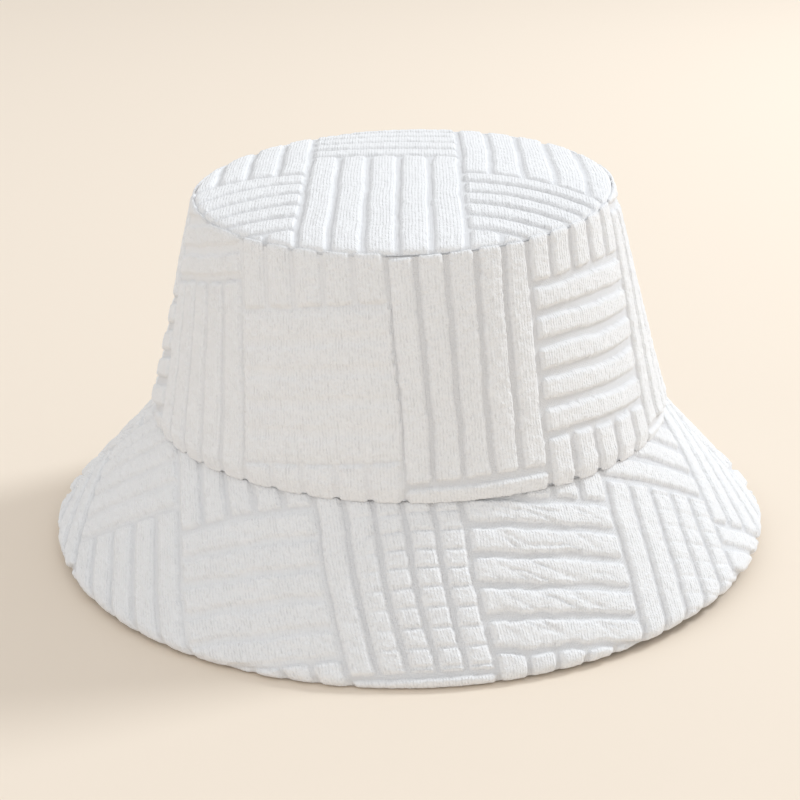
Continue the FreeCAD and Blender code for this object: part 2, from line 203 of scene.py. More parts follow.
@dataclass(frozen=True)
class BasketWeave:
    """Terry with raised ribs in blocks that run across and along by turns, like a basket.

    Attributes:
        edges: where the named columns of blocks start and end, across the cloth.
        column: width of every other column.
        block: height of a block whose ribs run across.
        strip: height of a block whose ribs run along.
        foot: lower edge of a block of ribs that run across, in the first named column.
        rise: how much the rows climb to the right.
        rise_growth: how much steeper they are further right, for each metre.
        lean: how much the columns lean.
        lean_growth: how much more they lean further right, for each metre.
        middle: height at which the columns' edges are measured.
        ribs: ribs in a block.
        groove: width of the flat ground between ribs that run along.
        lying_groove: its width between ribs that run across.
        depth: height of the pile over the ground.
        fan: how strongly rows outside the middle columns bend forward, for each metre.
        flattened: named columns whose ribs are worn flat, with how strongly.
        shifts: named columns whose blocks sit higher than the others', with how far.
        quilted: named columns whose ribs along are also stitched across, with how strongly.
        quilt_pitch: distance between those cross lines.
        crumpled: named columns whose ribs across are creased, with how strongly.
        seed: which noise bends this cloth.
    """

    edges: tuple[float, ...]
    column: float = 52.5 * MM
    block: float = 52.5 * MM
    strip: float = 73.5 * MM
    foot: float = 14.5 * MM
    rise: float = 0.085
    rise_growth: float = 0.9
    lean: float = 0.05
    lean_growth: float = 0.8
    middle: float = 40 * MM
    ribs: int = 5
    groove: float = 1.9 * MM
    lying_groove: float = 2.3 * MM
    depth: float = 1.35 * MM
    fan: float = 0.0
    flattened: tuple[tuple[int, float], ...] = ()
    shifts: tuple[tuple[int, float], ...] = ()
    quilted: tuple[tuple[int, float], ...] = ()
    quilt_pitch: float = 6.4 * MM
    crumpled: tuple[tuple[int, float], ...] = ()
    seed: int = 1

    REPEATS = 6
    NOISES = 100
    SWAY = ((0.9 * MM, 31 * MM), (0.3 * MM, 9 * MM))
    SAG = ((1.0 * MM, 27 * MM), (0.35 * MM, 8 * MM))
    CRUMPLE = ((1.5 * MM, 13 * MM), (0.8 * MM, 5.5 * MM))
    FRAY = ((0.30 * MM, 1.3 * MM), (0.14 * MM, 5 * MM))
    CREASES = ((6 * MM, 7.5 * MM), (2.2 * MM, 17 * MM))
    LOOPS = ((0.19 * MM, 1.05 * MM), (0.10 * MM, 2.6 * MM))
    FAN_CENTRE, FAN_REACH = -7 * MM, 28 * MM
    FAN_BACK, FAN_FRONT = -30 * MM, 25 * MM
    CORNER = 1.2 * MM
    CLIMB = 1.25 * MM
    CROWN = 0.22 * MM
    RIB_HEIGHTS = (0.86, 1.08)
    RANKS_OF_STRIPS = 31
    STANDING_WEAR = 0.35
    WORN_LEVEL = 0.8
    QUILT_START, QUILT_FULL = 0.16, 0.5
    QUILT_DEPTH, QUILT_WIDTH = 0.65, 0.58 * MM
    CREASE_DEPTH, CREASE_WIDTH, CREASE_SLANT = 0.42, 0.85 * MM, 2.2

    def all_edges(self) -> np.ndarray:
        """Every column edge, with as many plain columns on both sides as a panel can need."""
        more = self.column * np.arange(1, self.REPEATS + 1)
        return np.concatenate([self.edges[0] - more[::-1], self.edges, self.edges[-1] + more])

    def strength(self, chosen: tuple[tuple[int, float], ...], index: np.ndarray) -> np.ndarray:
        """How strongly an effect of some named columns acts on each point's column."""
        amount = np.zeros(index.shape)
        for column, value in chosen:
            amount = np.where(index == column + self.REPEATS, value, amount)
        return amount

    def bent(self, a: np.ndarray, b: np.ndarray, seed: int) -> tuple[np.ndarray, np.ndarray]:
        """Places across and along the weave, which leans, climbs, fans out and is never quite even."""
        u = a + (self.lean + self.lean_growth * a) * (b - self.middle)
        v = b - (self.rise + self.rise_growth * a / 2) * a
        beyond = np.maximum(np.abs(a - self.FAN_CENTRE) - self.FAN_REACH, 0)
        v = v + self.fan * beyond ** 2 * ease(self.FAN_BACK, self.FAN_FRONT, -b)
        return u + layered_noise(a, b, self.SWAY, seed), v + layered_noise(a, b, self.SAG, seed + 2)

    def creases(self, u: np.ndarray, v: np.ndarray, seed: int) -> np.ndarray:
        """1 in the slanting creases of a crumpled rib, 0 away from them."""
        (broad, broad_cell), (fine, fine_cell) = self.CREASES
        line = broad * soft_noise(u + self.CREASE_SLANT * v, v, broad_cell, seed)
        return notch(line + fine * soft_noise(u, v, fine_cell, seed + 1), self.CREASE_WIDTH)

    def relief(self, a: np.ndarray, b: np.ndarray) -> dict[str, np.ndarray]:
        """The pile's height at points of the flat cloth.

        Args:
            a: places across the flat cloth.
            b: places along the flat cloth.

        Returns:
            height of the pile over the ground, pile from 0 in a groove to 1 on a rib, which also sets where
            the terry finish paints shade, and the bent places u across and v along, which the finish
            follows.
        """
        seed, edges = self.seed * self.NOISES, self.all_edges()
        u, v = self.bent(a, b, seed)
        index = np.clip(np.searchsorted(edges, u) - 1, 0, len(edges) - 2)
        width = edges[index + 1] - edges[index]
        across = u - edges[index]
        crumple = self.strength(self.crumpled, index) * np.sin(np.pi * across / width)
        v = v + crumple * layered_noise(a, b, self.CRUMPLE, seed + 4)

        period = self.block + self.strip
        level = v - self.foot - np.where((index - self.REPEATS) % 2 == 1, period / 2, 0)
        level = level - self.strength(self.shifts, index)
        turn = np.floor(level / period)
        row = level - turn * period
        lying = row < self.block
        pitch, rib_width = self.block / self.ribs, width / self.ribs
        standing_rank = np.clip(np.floor(across / rib_width), 0, self.ribs - 1)
        rank = np.where(lying, np.floor(row / pitch), standing_rank)
        from_middle = np.where(lying, row - (rank + 0.5) * pitch, across - (rank + 0.5) * rib_width)
        half_rib = np.where(lying, pitch, rib_width) / 2
        margin, lying_margin = self.groove / 2, self.lying_groove / 2
        lying_inside = inside_distance(across - width / 2, from_middle, width / 2 - margin,
                                       pitch / 2 - lying_margin, self.CORNER)
        standing_inside = inside_distance(from_middle, row - self.block - self.strip / 2,
                                          rib_width / 2 - margin, self.strip / 2 - margin, self.CORNER)
        inside = np.where(lying, lying_inside, standing_inside) + layered_noise(u, v, self.FRAY, seed + 6)

        climb = np.clip(inside / self.CLIMB, 0, 1)
        crown = self.CROWN * (1 - (from_middle / half_rib) ** 2) * climb
        table = np.random.default_rng(seed + 8).uniform(*self.RIB_HEIGHTS, (NOISE_CELLS, NOISE_CELLS))
        pick = rank + self.ribs * (turn + 8) + np.where(lying, 0, self.RANKS_OF_STRIPS)
        own = table[index % NOISE_CELLS, pick.astype(int) % NOISE_CELLS]
        worn = 1 - np.where(lying, 1, self.STANDING_WEAR) * self.strength(self.flattened, index)
        height = (self.depth * (1 - (1 - climb) ** 2) * own + crown) * worn
        height = height + self.depth * self.WORN_LEVEL * (1 - worn)

        quilt = self.strength(self.quilted, index) * ease(self.QUILT_START, self.QUILT_FULL, across / width)
        beat = v / self.quilt_pitch
        off_line = np.abs(beat - np.round(beat)) * self.quilt_pitch
        cross_lines = self.QUILT_DEPTH * notch(off_line, self.QUILT_WIDTH)
        height = height * (1 - np.where(lying, 0, quilt) * cross_lines)
        creased = np.where(lying, crumple, 0) * self.CREASE_DEPTH * self.depth
        height = height - creased * self.creases(u, v, seed + 9) * climb
        height = height + layered_noise(u, v, self.LOOPS, seed + 11) * climb
        # pile also sets the terry finish's painted shade in the grooves, which fades where the ribs are worn
        # flat.
        return {"height": height, "pile": climb * worn + 1 - worn, "u": u, "v": v}


# ------------------------------------------------------------------ meshes

def deselect_all() -> None:
    """Leaves nothing selected, so that an operator works on the new piece alone."""
    if bpy.context.object and bpy.context.object.mode != "OBJECT":
        bpy.ops.object.mode_set(mode="OBJECT")
    bpy.ops.object.select_all(action="DESELECT")


def grid_of(points: np.ndarray, name: str) -> bpy.types.Object:
    """A primitive grid whose vertices are moved to a grid of points.

    Args:
        points: rows by columns by three.
        name: the new piece's name.

    Returns:
        The new piece, selected and active.
    """
    deselect_all()
    rows, columns = points.shape[:2]
    bpy.ops.mesh.primitive_grid_add(x_subdivisions=columns - 1, y_subdivisions=rows - 1, size=1)
    piece = bpy.context.object
    piece.name = piece.data.name = name
    piece.data.vertices.foreach_set("co", points.astype(np.float32).ravel())
    piece.data.update()
    return piece


def border_of(rows: int, columns: int) -> list[int]:
    """Vertex numbers round the border of a grid, in order."""
    foot = list(range(columns))
    right = [row * columns + columns - 1 for row in range(1, rows)]
    top = [(rows - 1) * columns + column for column in range(columns - 2, -1, -1)]
    left = [row * columns for row in range(rows - 2, 0, -1)]
    return foot + right + top + left


def cloth_shell(name: str, face: np.ndarray, back: np.ndarray, flat: tuple[np.ndarray, np.ndarray],
                pile: np.ndarray) -> bpy.types.Object:
    """A closed panel of thick cloth: a fine face with the relief, and a coarser back.

    Args:
        name: the piece's name.
        face: the fine face's points, with a multiple of INNER_STEP spaces each way.
        back: the points behind them, of which every INNER_STEP-th is used.
        flat: places across and along the flat cloth, for the weave.
        pile: 0 in a groove to 1 on a rib.

    Returns:
        The panel, closed, with its faces outward.
    """
    rows, columns = face.shape[:2]
    step = INNER_STEP
    back = back[::step, ::step]
    fine = grid_of(face, name)
    grid_of(back, f"{name}_back")
    fine.select_set(True)
    bpy.context.view_layer.objects.active = fine
    bpy.ops.object.join()
    rim, inner_rim = border_of(rows, columns), border_of(*back.shape[:2])
    shell = bmesh.new()
    shell.from_mesh(fine.data)
    shell.verts.ensure_lookup_table()
    first = rows * columns
    for k, corner in enumerate(inner_rim):
        following = inner_rim[(k + 1) % len(inner_rim)]
        strip = [shell.verts[rim[(k * step + j) % len(rim)]] for j in range(step + 1)]
        shell.faces.new(strip + [shell.verts[first + following], shell.verts[first + corner]])
    bmesh.ops.recalc_face_normals(shell, faces=shell.faces)
    shell.to_mesh(fine.data)
    shell.free()
    places = [np.concatenate([grid.ravel(), grid[::step, ::step].ravel()]) for grid in (*flat, pile)]
    dress_mesh(fine, places[0], places[1], places[2])
    return fine


def dress_mesh(piece: bpy.types.Object, u: np.ndarray, v: np.ndarray, pile: np.ndarray) -> None:
    """Gives a piece smooth shading, a UV map of its flat cloth in metres, and its pile.

    Args:
        piece: the piece.
        u: each vertex's place across the flat cloth.
        v: each vertex's place along it.
        pile: each vertex's pile, from 0 to 1.
    """
    mesh = piece.data
    for layer in list(mesh.uv_layers):
        mesh.uv_layers.remove(layer)
    corners = np.zeros(len(mesh.loops), np.int64)
    mesh.loops.foreach_get("vertex_index", corners)
    layer = mesh.uv_layers.new(name="cloth")
    layer.uv.foreach_set("vector", np.stack([u[corners], v[corners]], axis=1).astype(np.float32).ravel())
    attribute = mesh.attributes.new("pile", "FLOAT", "POINT")
    attribute.data.foreach_set("value", pile.astype(np.float32))
    mesh.polygons.foreach_set("use_smooth", np.ones(len(mesh.polygons), bool))
    mesh.update()


def thin_cloth(name: str, points: np.ndarray, thickness: float, flat: tuple[np.ndarray, np.ndarray]
               ) -> bpy.types.Object:
    """A closed panel of thin cloth, with its thickness behind the given face.

    Args:
        name: the piece's name.
        points: its face's points.
        thickness: the cloth's thickness.
        flat: places across and along the flat cloth.

    Returns:
        The panel.
    """
    piece = grid_of(points, name)
    dress_mesh(piece, flat[0].ravel(), flat[1].ravel(), np.ones(flat[0].size))
    solid = piece.modifiers.new("cloth", "SOLIDIFY")
    solid.thickness = thickness
    solid.offset = -1
    bpy.ops.object.modifier_apply(modifier=solid.name)
    return piece


def seal_ring(piece: bpy.types.Object) -> None:
    """Sews a band's two ends together, where its first and last columns meet."""
    deselect_all()
    piece.select_set(True)
    bpy.context.view_layer.objects.active = piece
    bpy.ops.object.mode_set(mode="EDIT")
    bpy.ops.mesh.select_all(action="SELECT")
    bpy.ops.mesh.remove_doubles(threshold=0.01 * MM)
    bpy.ops.object.mode_set(mode="OBJECT")


def read_along(along: np.ndarray, values: np.ndarray, places: np.ndarray) -> np.ndarray:
    """Vectors at places on a path, between those that are given along it."""
    return np.stack([np.interp(places, along, values[:, k]) for k in range(3)], axis=1)


def one_stitch(name: str, length: float, radius: float
               ) -> tuple[bpy.types.Object, np.ndarray, list[tuple[int, ...]]]:
    """One stitch along x with rounded ends that sink into the cloth.

    Args:
        name: the piece's name.
        length: the stitch's length.
        radius: the thread's radius.

    Returns:
        The stitch as a piece, its points, and the point numbers of its faces.
    """
    straight, sunk_end, sink, waist = length * 0.72, length * 0.14, radius * 0.5, radius * 0.45
    deselect_all()
    bpy.ops.mesh.primitive_cylinder_add(vertices=6, radius=radius, depth=straight,
                                        rotation=(0, math.pi / 2, 0))
    piece = bpy.context.object
    piece.name = piece.data.name = name
    bpy.ops.object.transform_apply(location=True, rotation=True, scale=True)
    stitch = bmesh.new()
    stitch.from_mesh(piece.data)
    for end in (-1, 1):
        caps = [f for f in stitch.faces if f.normal.x * end > 0.9]
        bmesh.ops.inset_region(stitch, faces=caps, thickness=waist)
        bmesh.ops.translate(stitch, verts=list({v for f in caps for v in f.verts}),
                            vec=(end * sunk_end, 0, -sink))
    stitch.to_mesh(piece.data)
    stitch.free()
    shape = np.array([v.co for v in piece.data.vertices])
    return piece, shape, [tuple(p.vertices) for p in piece.data.polygons]


def stitch_row(name: str, path: np.ndarray, facing: np.ndarray, length: float, radius: float,
               gap: float) -> bpy.types.Object:
    """A row of stitches along a path: one rounded stitch, copied.

    Args:
        name: the piece's name.
        path: points of the path, close together.
        facing: for each of them, the direction away from the cloth.
        length: a stitch's length.
        radius: the thread's radius.
        gap: room between two stitches.

    Returns:
        All the stitches as one piece.
    """
    piece, shape, faces = one_stitch(name, length, radius)
    along = np.concatenate([[0], np.cumsum(np.linalg.norm(np.diff(path, axis=0), axis=1))])
    count = max(2, int(along[-1] / (length + gap)))
    middles = (np.arange(count) + 0.5) * along[-1] / count
    centre, out = read_along(along, path, middles), read_along(along, facing, middles)
    quarter = length / 4
    forward = read_along(along, path, middles + quarter) - read_along(along, path, middles - quarter)
    forward /= np.linalg.norm(forward, axis=1, keepdims=True)
    side = np.cross(out, forward)
    side /= np.linalg.norm(side, axis=1, keepdims=True)
    out = np.cross(forward, side)
    points = (centre[:, None] + shape[None, :, 0:1] * forward[:, None]
              + shape[None, :, 1:2] * side[:, None] + shape[None, :, 2:3] * out[:, None])
    copies = [tuple(i + k * len(shape) for i in face) for k in range(count) for face in faces]
    piece.data.clear_geometry()
    piece.data.from_pydata(points.reshape(-1, 3).tolist(), [], copies)
    run = (middles[:, None] + shape[None, :, 0]).ravel()
    dress_mesh(piece, run, np.tile(shape[:, 1], count), np.ones(len(run)))
    return piece


def joined(pieces: list[bpy.types.Object], name: str) -> bpy.types.Object:
    """Several pieces as one, under one name."""
    deselect_all()
    for piece in pieces:
        piece.select_set(True)
    bpy.context.view_layer.objects.active = pieces[0]
    bpy.ops.object.join()
    pieces[0].name = pieces[0].data.name = name
    return pieces[0]


# ------------------------------------------------------------------ the hat's shape

@dataclass(frozen=True)
class HatForm:
    """The shape that the cloths are laid on: sizes from the CAD part, and how a real one settles.

    Attributes:
        seam_height: seam between the crown side and the brim.
        seam_radius: radius of the valley over that seam.
        top_height: seam between the tip and the crown side.
        top_radius: radius of the groove along that seam.
        crown_height: middle of the tip.
        brim_radius: outside of the brim's edge.
        wall_angle: crown side against the vertical.
        wall_radius: crown side above its puffed foot.
        wall_height: height at which that is measured.
        brim_slope: brim below the horizontal.
        brim_half: half the thickness of the brim, and radius of its edge.
        edge_height: height of the circle round which the edge turns, so that its flat rests on the floor.
        tilt_right: climb of the tip to the right.
        tilt_back: climb of the tip to the back.
        drift: how far the tip sits to the left.
        side_lift: how far the brim's edge rises at the two sides.
        corner_lift: how far it rises at the front right besides.
        front_inset: how far it is drawn in at the front, where the brim is pressed flatter.
    """

    seam_height: float
    seam_radius: float
    top_height: float
    top_radius: float
    crown_height: float
    brim_radius: float
    wall_angle: float = math.radians(14.3)
    wall_radius: float = 95.5 * MM
    wall_height: float = 56.5 * MM
    brim_slope: float = math.radians(48.8)
    brim_half: float = 2.85 * MM
    edge_height: float = 2.6 * MM
    tilt_right: float = 0.028
    tilt_back: float = 0.045
    drift: float = -2.2 * MM
    side_lift: float = 2.5 * MM
    corner_lift: float = 1.4 * MM
    front_inset: float = 3.0 * MM

    SEAM_RADIUS = 94.9 * MM
    TIP_SEAM_SHORT = 1.6 * MM
    CORNER_AT, CORNER_SPREAD = math.radians(50), math.radians(24)
    INSET_AT = math.radians(18)
    BRIM_BEND = 1.3
    BRIM_TOP = 1 * MM
    RIPPLE, RIPPLE_CELL = 0.35 * MM, 8.0
    SWELL, SWELL_CELL, SWELL_HEIGHT = 0.7 * MM, 4.0, 40 * MM
    NEAR_AXIS = 20 * MM

    @classmethod
    def from_frame(cls) -> "HatForm":
        """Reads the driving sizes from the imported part."""
        wall_low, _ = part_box("crown_side_front")
        tip_low, tip_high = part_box("crown_tip")
        _, brim_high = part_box("brim_upper_front")
        return cls(seam_height=wall_low.z, seam_radius=cls.SEAM_RADIUS, top_height=tip_low.z,
                   top_radius=tip_high.x - cls.TIP_SEAM_SHORT, crown_height=tip_high.z,
                   brim_radius=brim_high.x)

    @property
    def edge_radius(self) -> float:
        """Radius of the circle round which the brim's edge turns."""
        return self.brim_radius - self.brim_half

    def wall_at(self, height: float) -> float:
        """Outer radius of the crown side at a height, between its puffed foot and its top."""
        return self.wall_radius - math.tan(self.wall_angle) * (height - self.wall_height)

    def settled(self, points: np.ndarray) -> np.ndarray:
        """Points of the ideal hat, moved to where the real one's cloth has settled."""
        x, y, z = (points[..., k].copy() for k in range(3))
        up = np.clip((z - self.seam_height) / (self.top_height - self.seam_height), 0, 1)
        radius, angle = np.hypot(x, y), np.arctan2(x, -y)
        out = np.clip((radius - self.seam_radius) / (self.edge_radius - self.seam_radius), 0, 1.1)
        out = np.where(z < self.seam_height + self.BRIM_TOP, out, 0) ** self.BRIM_BEND
        turn = angle / math.tau * NOISE_CELLS
        corner = notch(angle - self.CORNER_AT, self.CORNER_SPREAD)
        ripple = self.RIPPLE * (1 + soft_noise(turn, angle * 0, self.RIPPLE_CELL, 71))
        lift = self.side_lift * np.sin(angle) ** 2 + self.corner_lift * corner + ripple
        swell = self.SWELL * soft_noise(turn, z / self.SWELL_HEIGHT, self.SWELL_CELL, 72)
        swell = swell * up * (1 - up) * 4
        moved_z = z + up * (self.tilt_right * x + self.tilt_back * y) + lift * out
        drawn = self.front_inset * np.maximum(np.cos(angle - self.INSET_AT), 0) ** 3 * out
        grow = 1 + (swell - drawn) / np.maximum(radius, self.NEAR_AXIS)
        return np.stack([x * grow + self.drift * up, y * grow, moved_z], axis=-1)

    def ring(self, radius: float | np.ndarray, height: float | np.ndarray, angle: np.ndarray
             ) -> np.ndarray:
        """Points at a radius and height, at angles from the front round to the right."""
        radius, height = radius + 0 * angle, height + 0 * angle
        return np.stack([radius * np.sin(angle), -radius * np.cos(angle), height], axis=-1)


def cone_cut(slant: np.ndarray, seam_slant: float, angle: np.ndarray, spread: float
             ) -> tuple[np.ndarray, np.ndarray]:
    """Places on the flat cut of a cone of cloth.

    Args:
        slant: distances from the cone's point.
        seam_slant: that of the seam between the crown side and the brim, where b is 0.
        angle: angles round the hat's axis from the middle of the panel.
        spread: how much smaller an angle is on the flat cut.

    Returns:
        Places a across and b along the cut, level with the ground at the panel's middle.
    """
    return slant * np.sin(angle * spread), seam_slant - slant * np.cos(angle * spread)


def panel_grid(rows: int, columns: int, seam_gap: float) -> tuple[np.ndarray, np.ndarray]:
    """Shares along a panel and angles across it, as two grids.

    Args:
        rows: rows of points.
        columns: columns of points.
        seam_gap: angle that the panel stops short of the side seams.

    Returns:
        Shares from 0 to 1, and angles from the panel's middle.
    """
    reach = math.pi / 2 - seam_gap
    shares, angles = np.linspace(0, 1, rows), np.linspace(-reach, reach, columns)
    return np.meshgrid(shares, angles, indexing="ij")


@dataclass
class TerryPanel:
    """What every terry panel of the hat shares: its shape, its weave and how it is pressed.

    Attributes:
        form: the hat's shape.
        weave: the panel's weave.
        seam_dip: how deep the cloth dives into a side seam.
        pressed: how flat the pile is pressed along a seam, from 0 to 1.
        least: the cloth's least thickness.
        floor: the lowest height that it may reach.
    """

    form: HatForm
    weave: BasketWeave
    seam_dip: float = 1.5 * MM
    pressed: float = 0.88
    least: float = 0.35 * MM
    floor: float = 0.0

    PRESS_WIDTH, PRESS_LEVEL = 3.0 * MM, 0.75
    DIP_WIDTH = 1.1 * MM

    def shell(self, name: str, base: np.ndarray, relief: dict[str, np.ndarray], thickness: np.ndarray,
              ends: np.ndarray, side: np.ndarray | float = 1.0) -> bpy.types.Object:
        """The closed cloth: the smooth shape with the pile raised on it, over a smooth back.

        Args:
            name: the piece's name.
            base: points over the ribs of the smooth shape.
            relief: what the weave says.
            thickness: how far the back lies under the smooth shape.
            ends: each point's distance from a seam along the panel's ends.
            side: its distance from a side seam, into which the cloth dives.

        Returns:
            The panel.
        """
        press = self.pressed * notch(np.minimum(ends, side), self.PRESS_WIDTH)
        mean = self.PRESS_LEVEL * self.weave.depth
        rise = relief["height"] * (1 - press) + mean * press - self.weave.depth
        rise = rise - self.seam_dip * notch(side, self.DIP_WIDTH)
        normals = surface_normals(base)
        face = base + normals * rise[..., None]
        back = base - normals * np.maximum(thickness, self.least - rise)[..., None]
        for points in (face, back):
            points[..., 2] = np.maximum(points[..., 2], self.floor)
        return cloth_shell(name, face, back, (relief["u"], relief["v"]), relief["pile"])


@dataclass
class CrownTip(TerryPanel):
    """The round top panel, pillowed between the seam's stitches.

    Attributes:
        dome: how far the middle stands over the rim.
        count: points across the panel.
    """

    dome: float = 5.0 * MM
    count: int = 283

    OVERLAP = 0.6 * MM
    PILLOW_SHARES = (0.0, 0.15, 0.3, 0.45, 0.6, 0.72, 0.82, 0.9, 0.955)
    PILLOW_FULLNESS = 2.6

    def contour(self) -> Contour:
        """The face over the ribs, from the middle out and down into the seam."""
        rim, rim_height = self.form.top_radius + self.OVERLAP, self.form.crown_height - self.dome
        pillow = [(rim * s, rim_height + self.dome * (1 - s ** self.PILLOW_FULLNESS))
                  for s in self.PILLOW_SHARES]
        fall = [(rim - 0.9 * MM, rim_height), (rim - 0.1 * MM, rim_height - 1.1 * MM),
                (rim, rim_height - 2.6 * MM)]
        return Contour(pillow + fall, 0.7 * MM)

    def polar_grid(self) -> tuple[np.ndarray, np.ndarray]:
        """A square grid bent to a disc: each point's share of the radius and its angle."""
        side = np.linspace(-1, 1, self.count)
        y, x = np.meshgrid(side, side, indexing="ij")
        wide = np.abs(x) > np.abs(y)
        reach, other = np.where(wide, x, y), np.where(wide, y, x)
        turn = math.pi / 4 * other / np.where(reach == 0, 1, reach)
        turn = np.where(wide, turn, math.pi / 2 - turn)
        return np.abs(reach), turn + np.where(reach < 0, math.pi, 0)

    def build(self) -> bpy.types.Object:
        """Models the panel over the CAD's crown_tip."""
        contour = self.contour()
        share, turn = self.polar_grid()
        radius, height = contour.at(share)
        flat_radius = share * contour.length
        base = self.form.settled(np.stack([radius * np.cos(turn), radius * np.sin(turn), height], axis=-1))
        relief = self.weave.relief(flat_radius * np.cos(turn), flat_radius * np.sin(turn))
        seam = (1 - share) * contour.length
        thickness = 1.1 * MM + 1.0 * MM * ease(0.2 * MM, 6 * MM, seam)
        return self.shell("terry_crown_tip", base, relief, thickness, seam)


@dataclass
class HalfPanel(TerryPanel):
    """A terry panel that goes round one half of the hat.

    Attributes:
        half: which half.
        rows: points along the panel, at right angles to the seams that go round.
        columns: points across it.
        seam_gap: angle that it stops short of the side seams.
    """

    half: Half = Half.FRONT
    rows: int = 139
    columns: int = 616
    seam_gap: float = 0.0010

    def laid(self, contour: Contour) -> tuple[np.ndarray, np.ndarray, np.ndarray, np.ndarray]:
        """The panel's grid, laid round the ideal hat.

        Args:
            contour: the outline that it follows.

        Returns:
            Each point's share of the contour, angle from the panel's middle, radius and height.
        """
        share, angle = panel_grid(self.rows, self.columns, self.seam_gap)
        return share, angle, *contour.at(share)

    def sewn(self, name: str, angle: np.ndarray, radius: np.ndarray, height: np.ndarray,
             relief: dict[str, np.ndarray], thickness: np.ndarray, ends: np.ndarray) -> bpy.types.Object:
        """The closed cloth of this half on the settled hat.

        Args:
            name: the panel's name, without its half.
            angle: each point's angle from the panel's middle.
            radius: its radius.
            height: its height.
            relief: what the weave says.
            thickness: how far the back lies under the smooth shape.
            ends: each point's distance from a seam along the panel's ends.

        Returns:
            The panel.
        """
        base = self.form.settled(self.form.ring(radius, height, angle + self.half.turn))
        side = (math.pi / 2 - np.abs(angle)) * radius
        return self.shell(f"{name}_{self.half.value}", base, relief, thickness, ends, side)


@dataclass
class CrownSide(HalfPanel):
    """One half of the crown side, puffed over the brim seam and rolled at the top."""

    rows: int = 154
    columns: int = 562
    seam_gap: float = 0.0012

    MARK = 20 * MM

    def contour(self) -> Contour:
        """The face over the ribs, from the brim seam up to the tip seam."""
        form, foot, top = self.form, self.form.seam_height, self.form.top_height
        rim = form.top_radius
        puff = [(form.seam_radius - 1.4 * MM, foot + 0.2 * MM),
                (form.seam_radius + 0.5 * MM, foot - 0.8 * MM),
                (form.seam_radius + 1.5 * MM, foot - 1.2 * MM),
                (form.wall_radius + 1.3 * MM, foot + 0.6 * MM),
                (form.wall_radius + 1.4 * MM, foot + 4.6 * MM),
                (form.wall_at(foot + 10 * MM) + 0.3 * MM, foot + 10 * MM)]
        wall = [(form.wall_at(height), height) for height in (foot + 20 * MM, top - 5 * MM)]
        roll = [(form.wall_at(top) + 0.1 * MM, top), (rim + 0.9 * MM, top + 1.1 * MM),
                (rim - 0.1 * MM, top + 0.6 * MM), (rim - 0.5 * MM, top - 1.4 * MM)]
        return Contour(puff + wall + roll, 0.6 * MM)

    def build(self) -> bpy.types.Object:
        """Models the panel over the CAD's crown_side_front or crown_side_back."""
        form, contour = self.form, self.contour()
        share, angle, radius, height = self.laid(contour)
        seam_slant = form.wall_at(form.seam_height) / math.sin(form.wall_angle)
        marked = np.interp(form.seam_height + self.MARK, height[:, 0], share[:, 0] * contour.length)
        tucked = marked - self.MARK / math.cos(form.wall_angle)
        up = share * contour.length - tucked
        relief = self.weave.relief(*cone_cut(seam_slant - up, seam_slant, angle, math.sin(form.wall_angle)))
        ends = np.minimum(share, 1 - share) * contour.length
        thickness = 1.0 * MM + 1.1 * MM * ease(0.5 * MM, 7 * MM, ends)
        return self.sewn("terry_crown_side", angle, radius, height, relief, thickness, ends)


@dataclass
class BrimUpper(HalfPanel):
    """One half of the brim's upper cloth, turned under at the edge."""

    TURN_FROM = -50
    TURN_POINTS = 6

    def contour(self) -> Contour:
        """The face over the ribs, from the edge's resting flat up to the brim seam."""
        form = self.form
        turned = [(form.edge_radius - 1.2 * MM, 0.0), (form.edge_radius + 0.9 * MM, 0.0)]
        turn_to = math.degrees(math.pi / 2 - form.brim_slope)
        for angle in np.linspace(self.TURN_FROM, turn_to, self.TURN_POINTS):
            turned.append((form.edge_radius + form.brim_half * math.cos(math.radians(angle)),
                           form.edge_height + form.brim_half * math.sin(math.radians(angle))))
        start = form.seam_radius + 0.4 * MM
        return Contour(turned + [(start, form.seam_height - 0.4 * MM),
                                 (start - 1.9 * MM, form.seam_height - 0.2 * MM)], 0.5 * MM)

    def build(self) -> bpy.types.Object:
        """Models the panel over the CAD's brim_upper_front or brim_upper_back."""
        form, contour = self.form, self.contour()
        share, angle, radius, height = self.laid(contour)
        spread = math.cos(form.brim_slope)
        seam_slant = form.seam_radius / spread
        down = (1 - share) * contour.length
        relief = self.weave.relief(*cone_cut(seam_slant + down, seam_slant, angle, spread))
        under = ease(1.0 * MM, 5.0 * MM, share * contour.length)
        relief["height"] = relief["height"] * under + self.weave.depth * (1 - under)
        ends = np.minimum(down, share * contour.length)
        thickness = 0.9 * MM + 1.3 * MM * ease(0.5 * MM, 6 * MM, ends)
        return self.sewn("terry_brim_upper", angle, radius, height, relief, thickness, down)


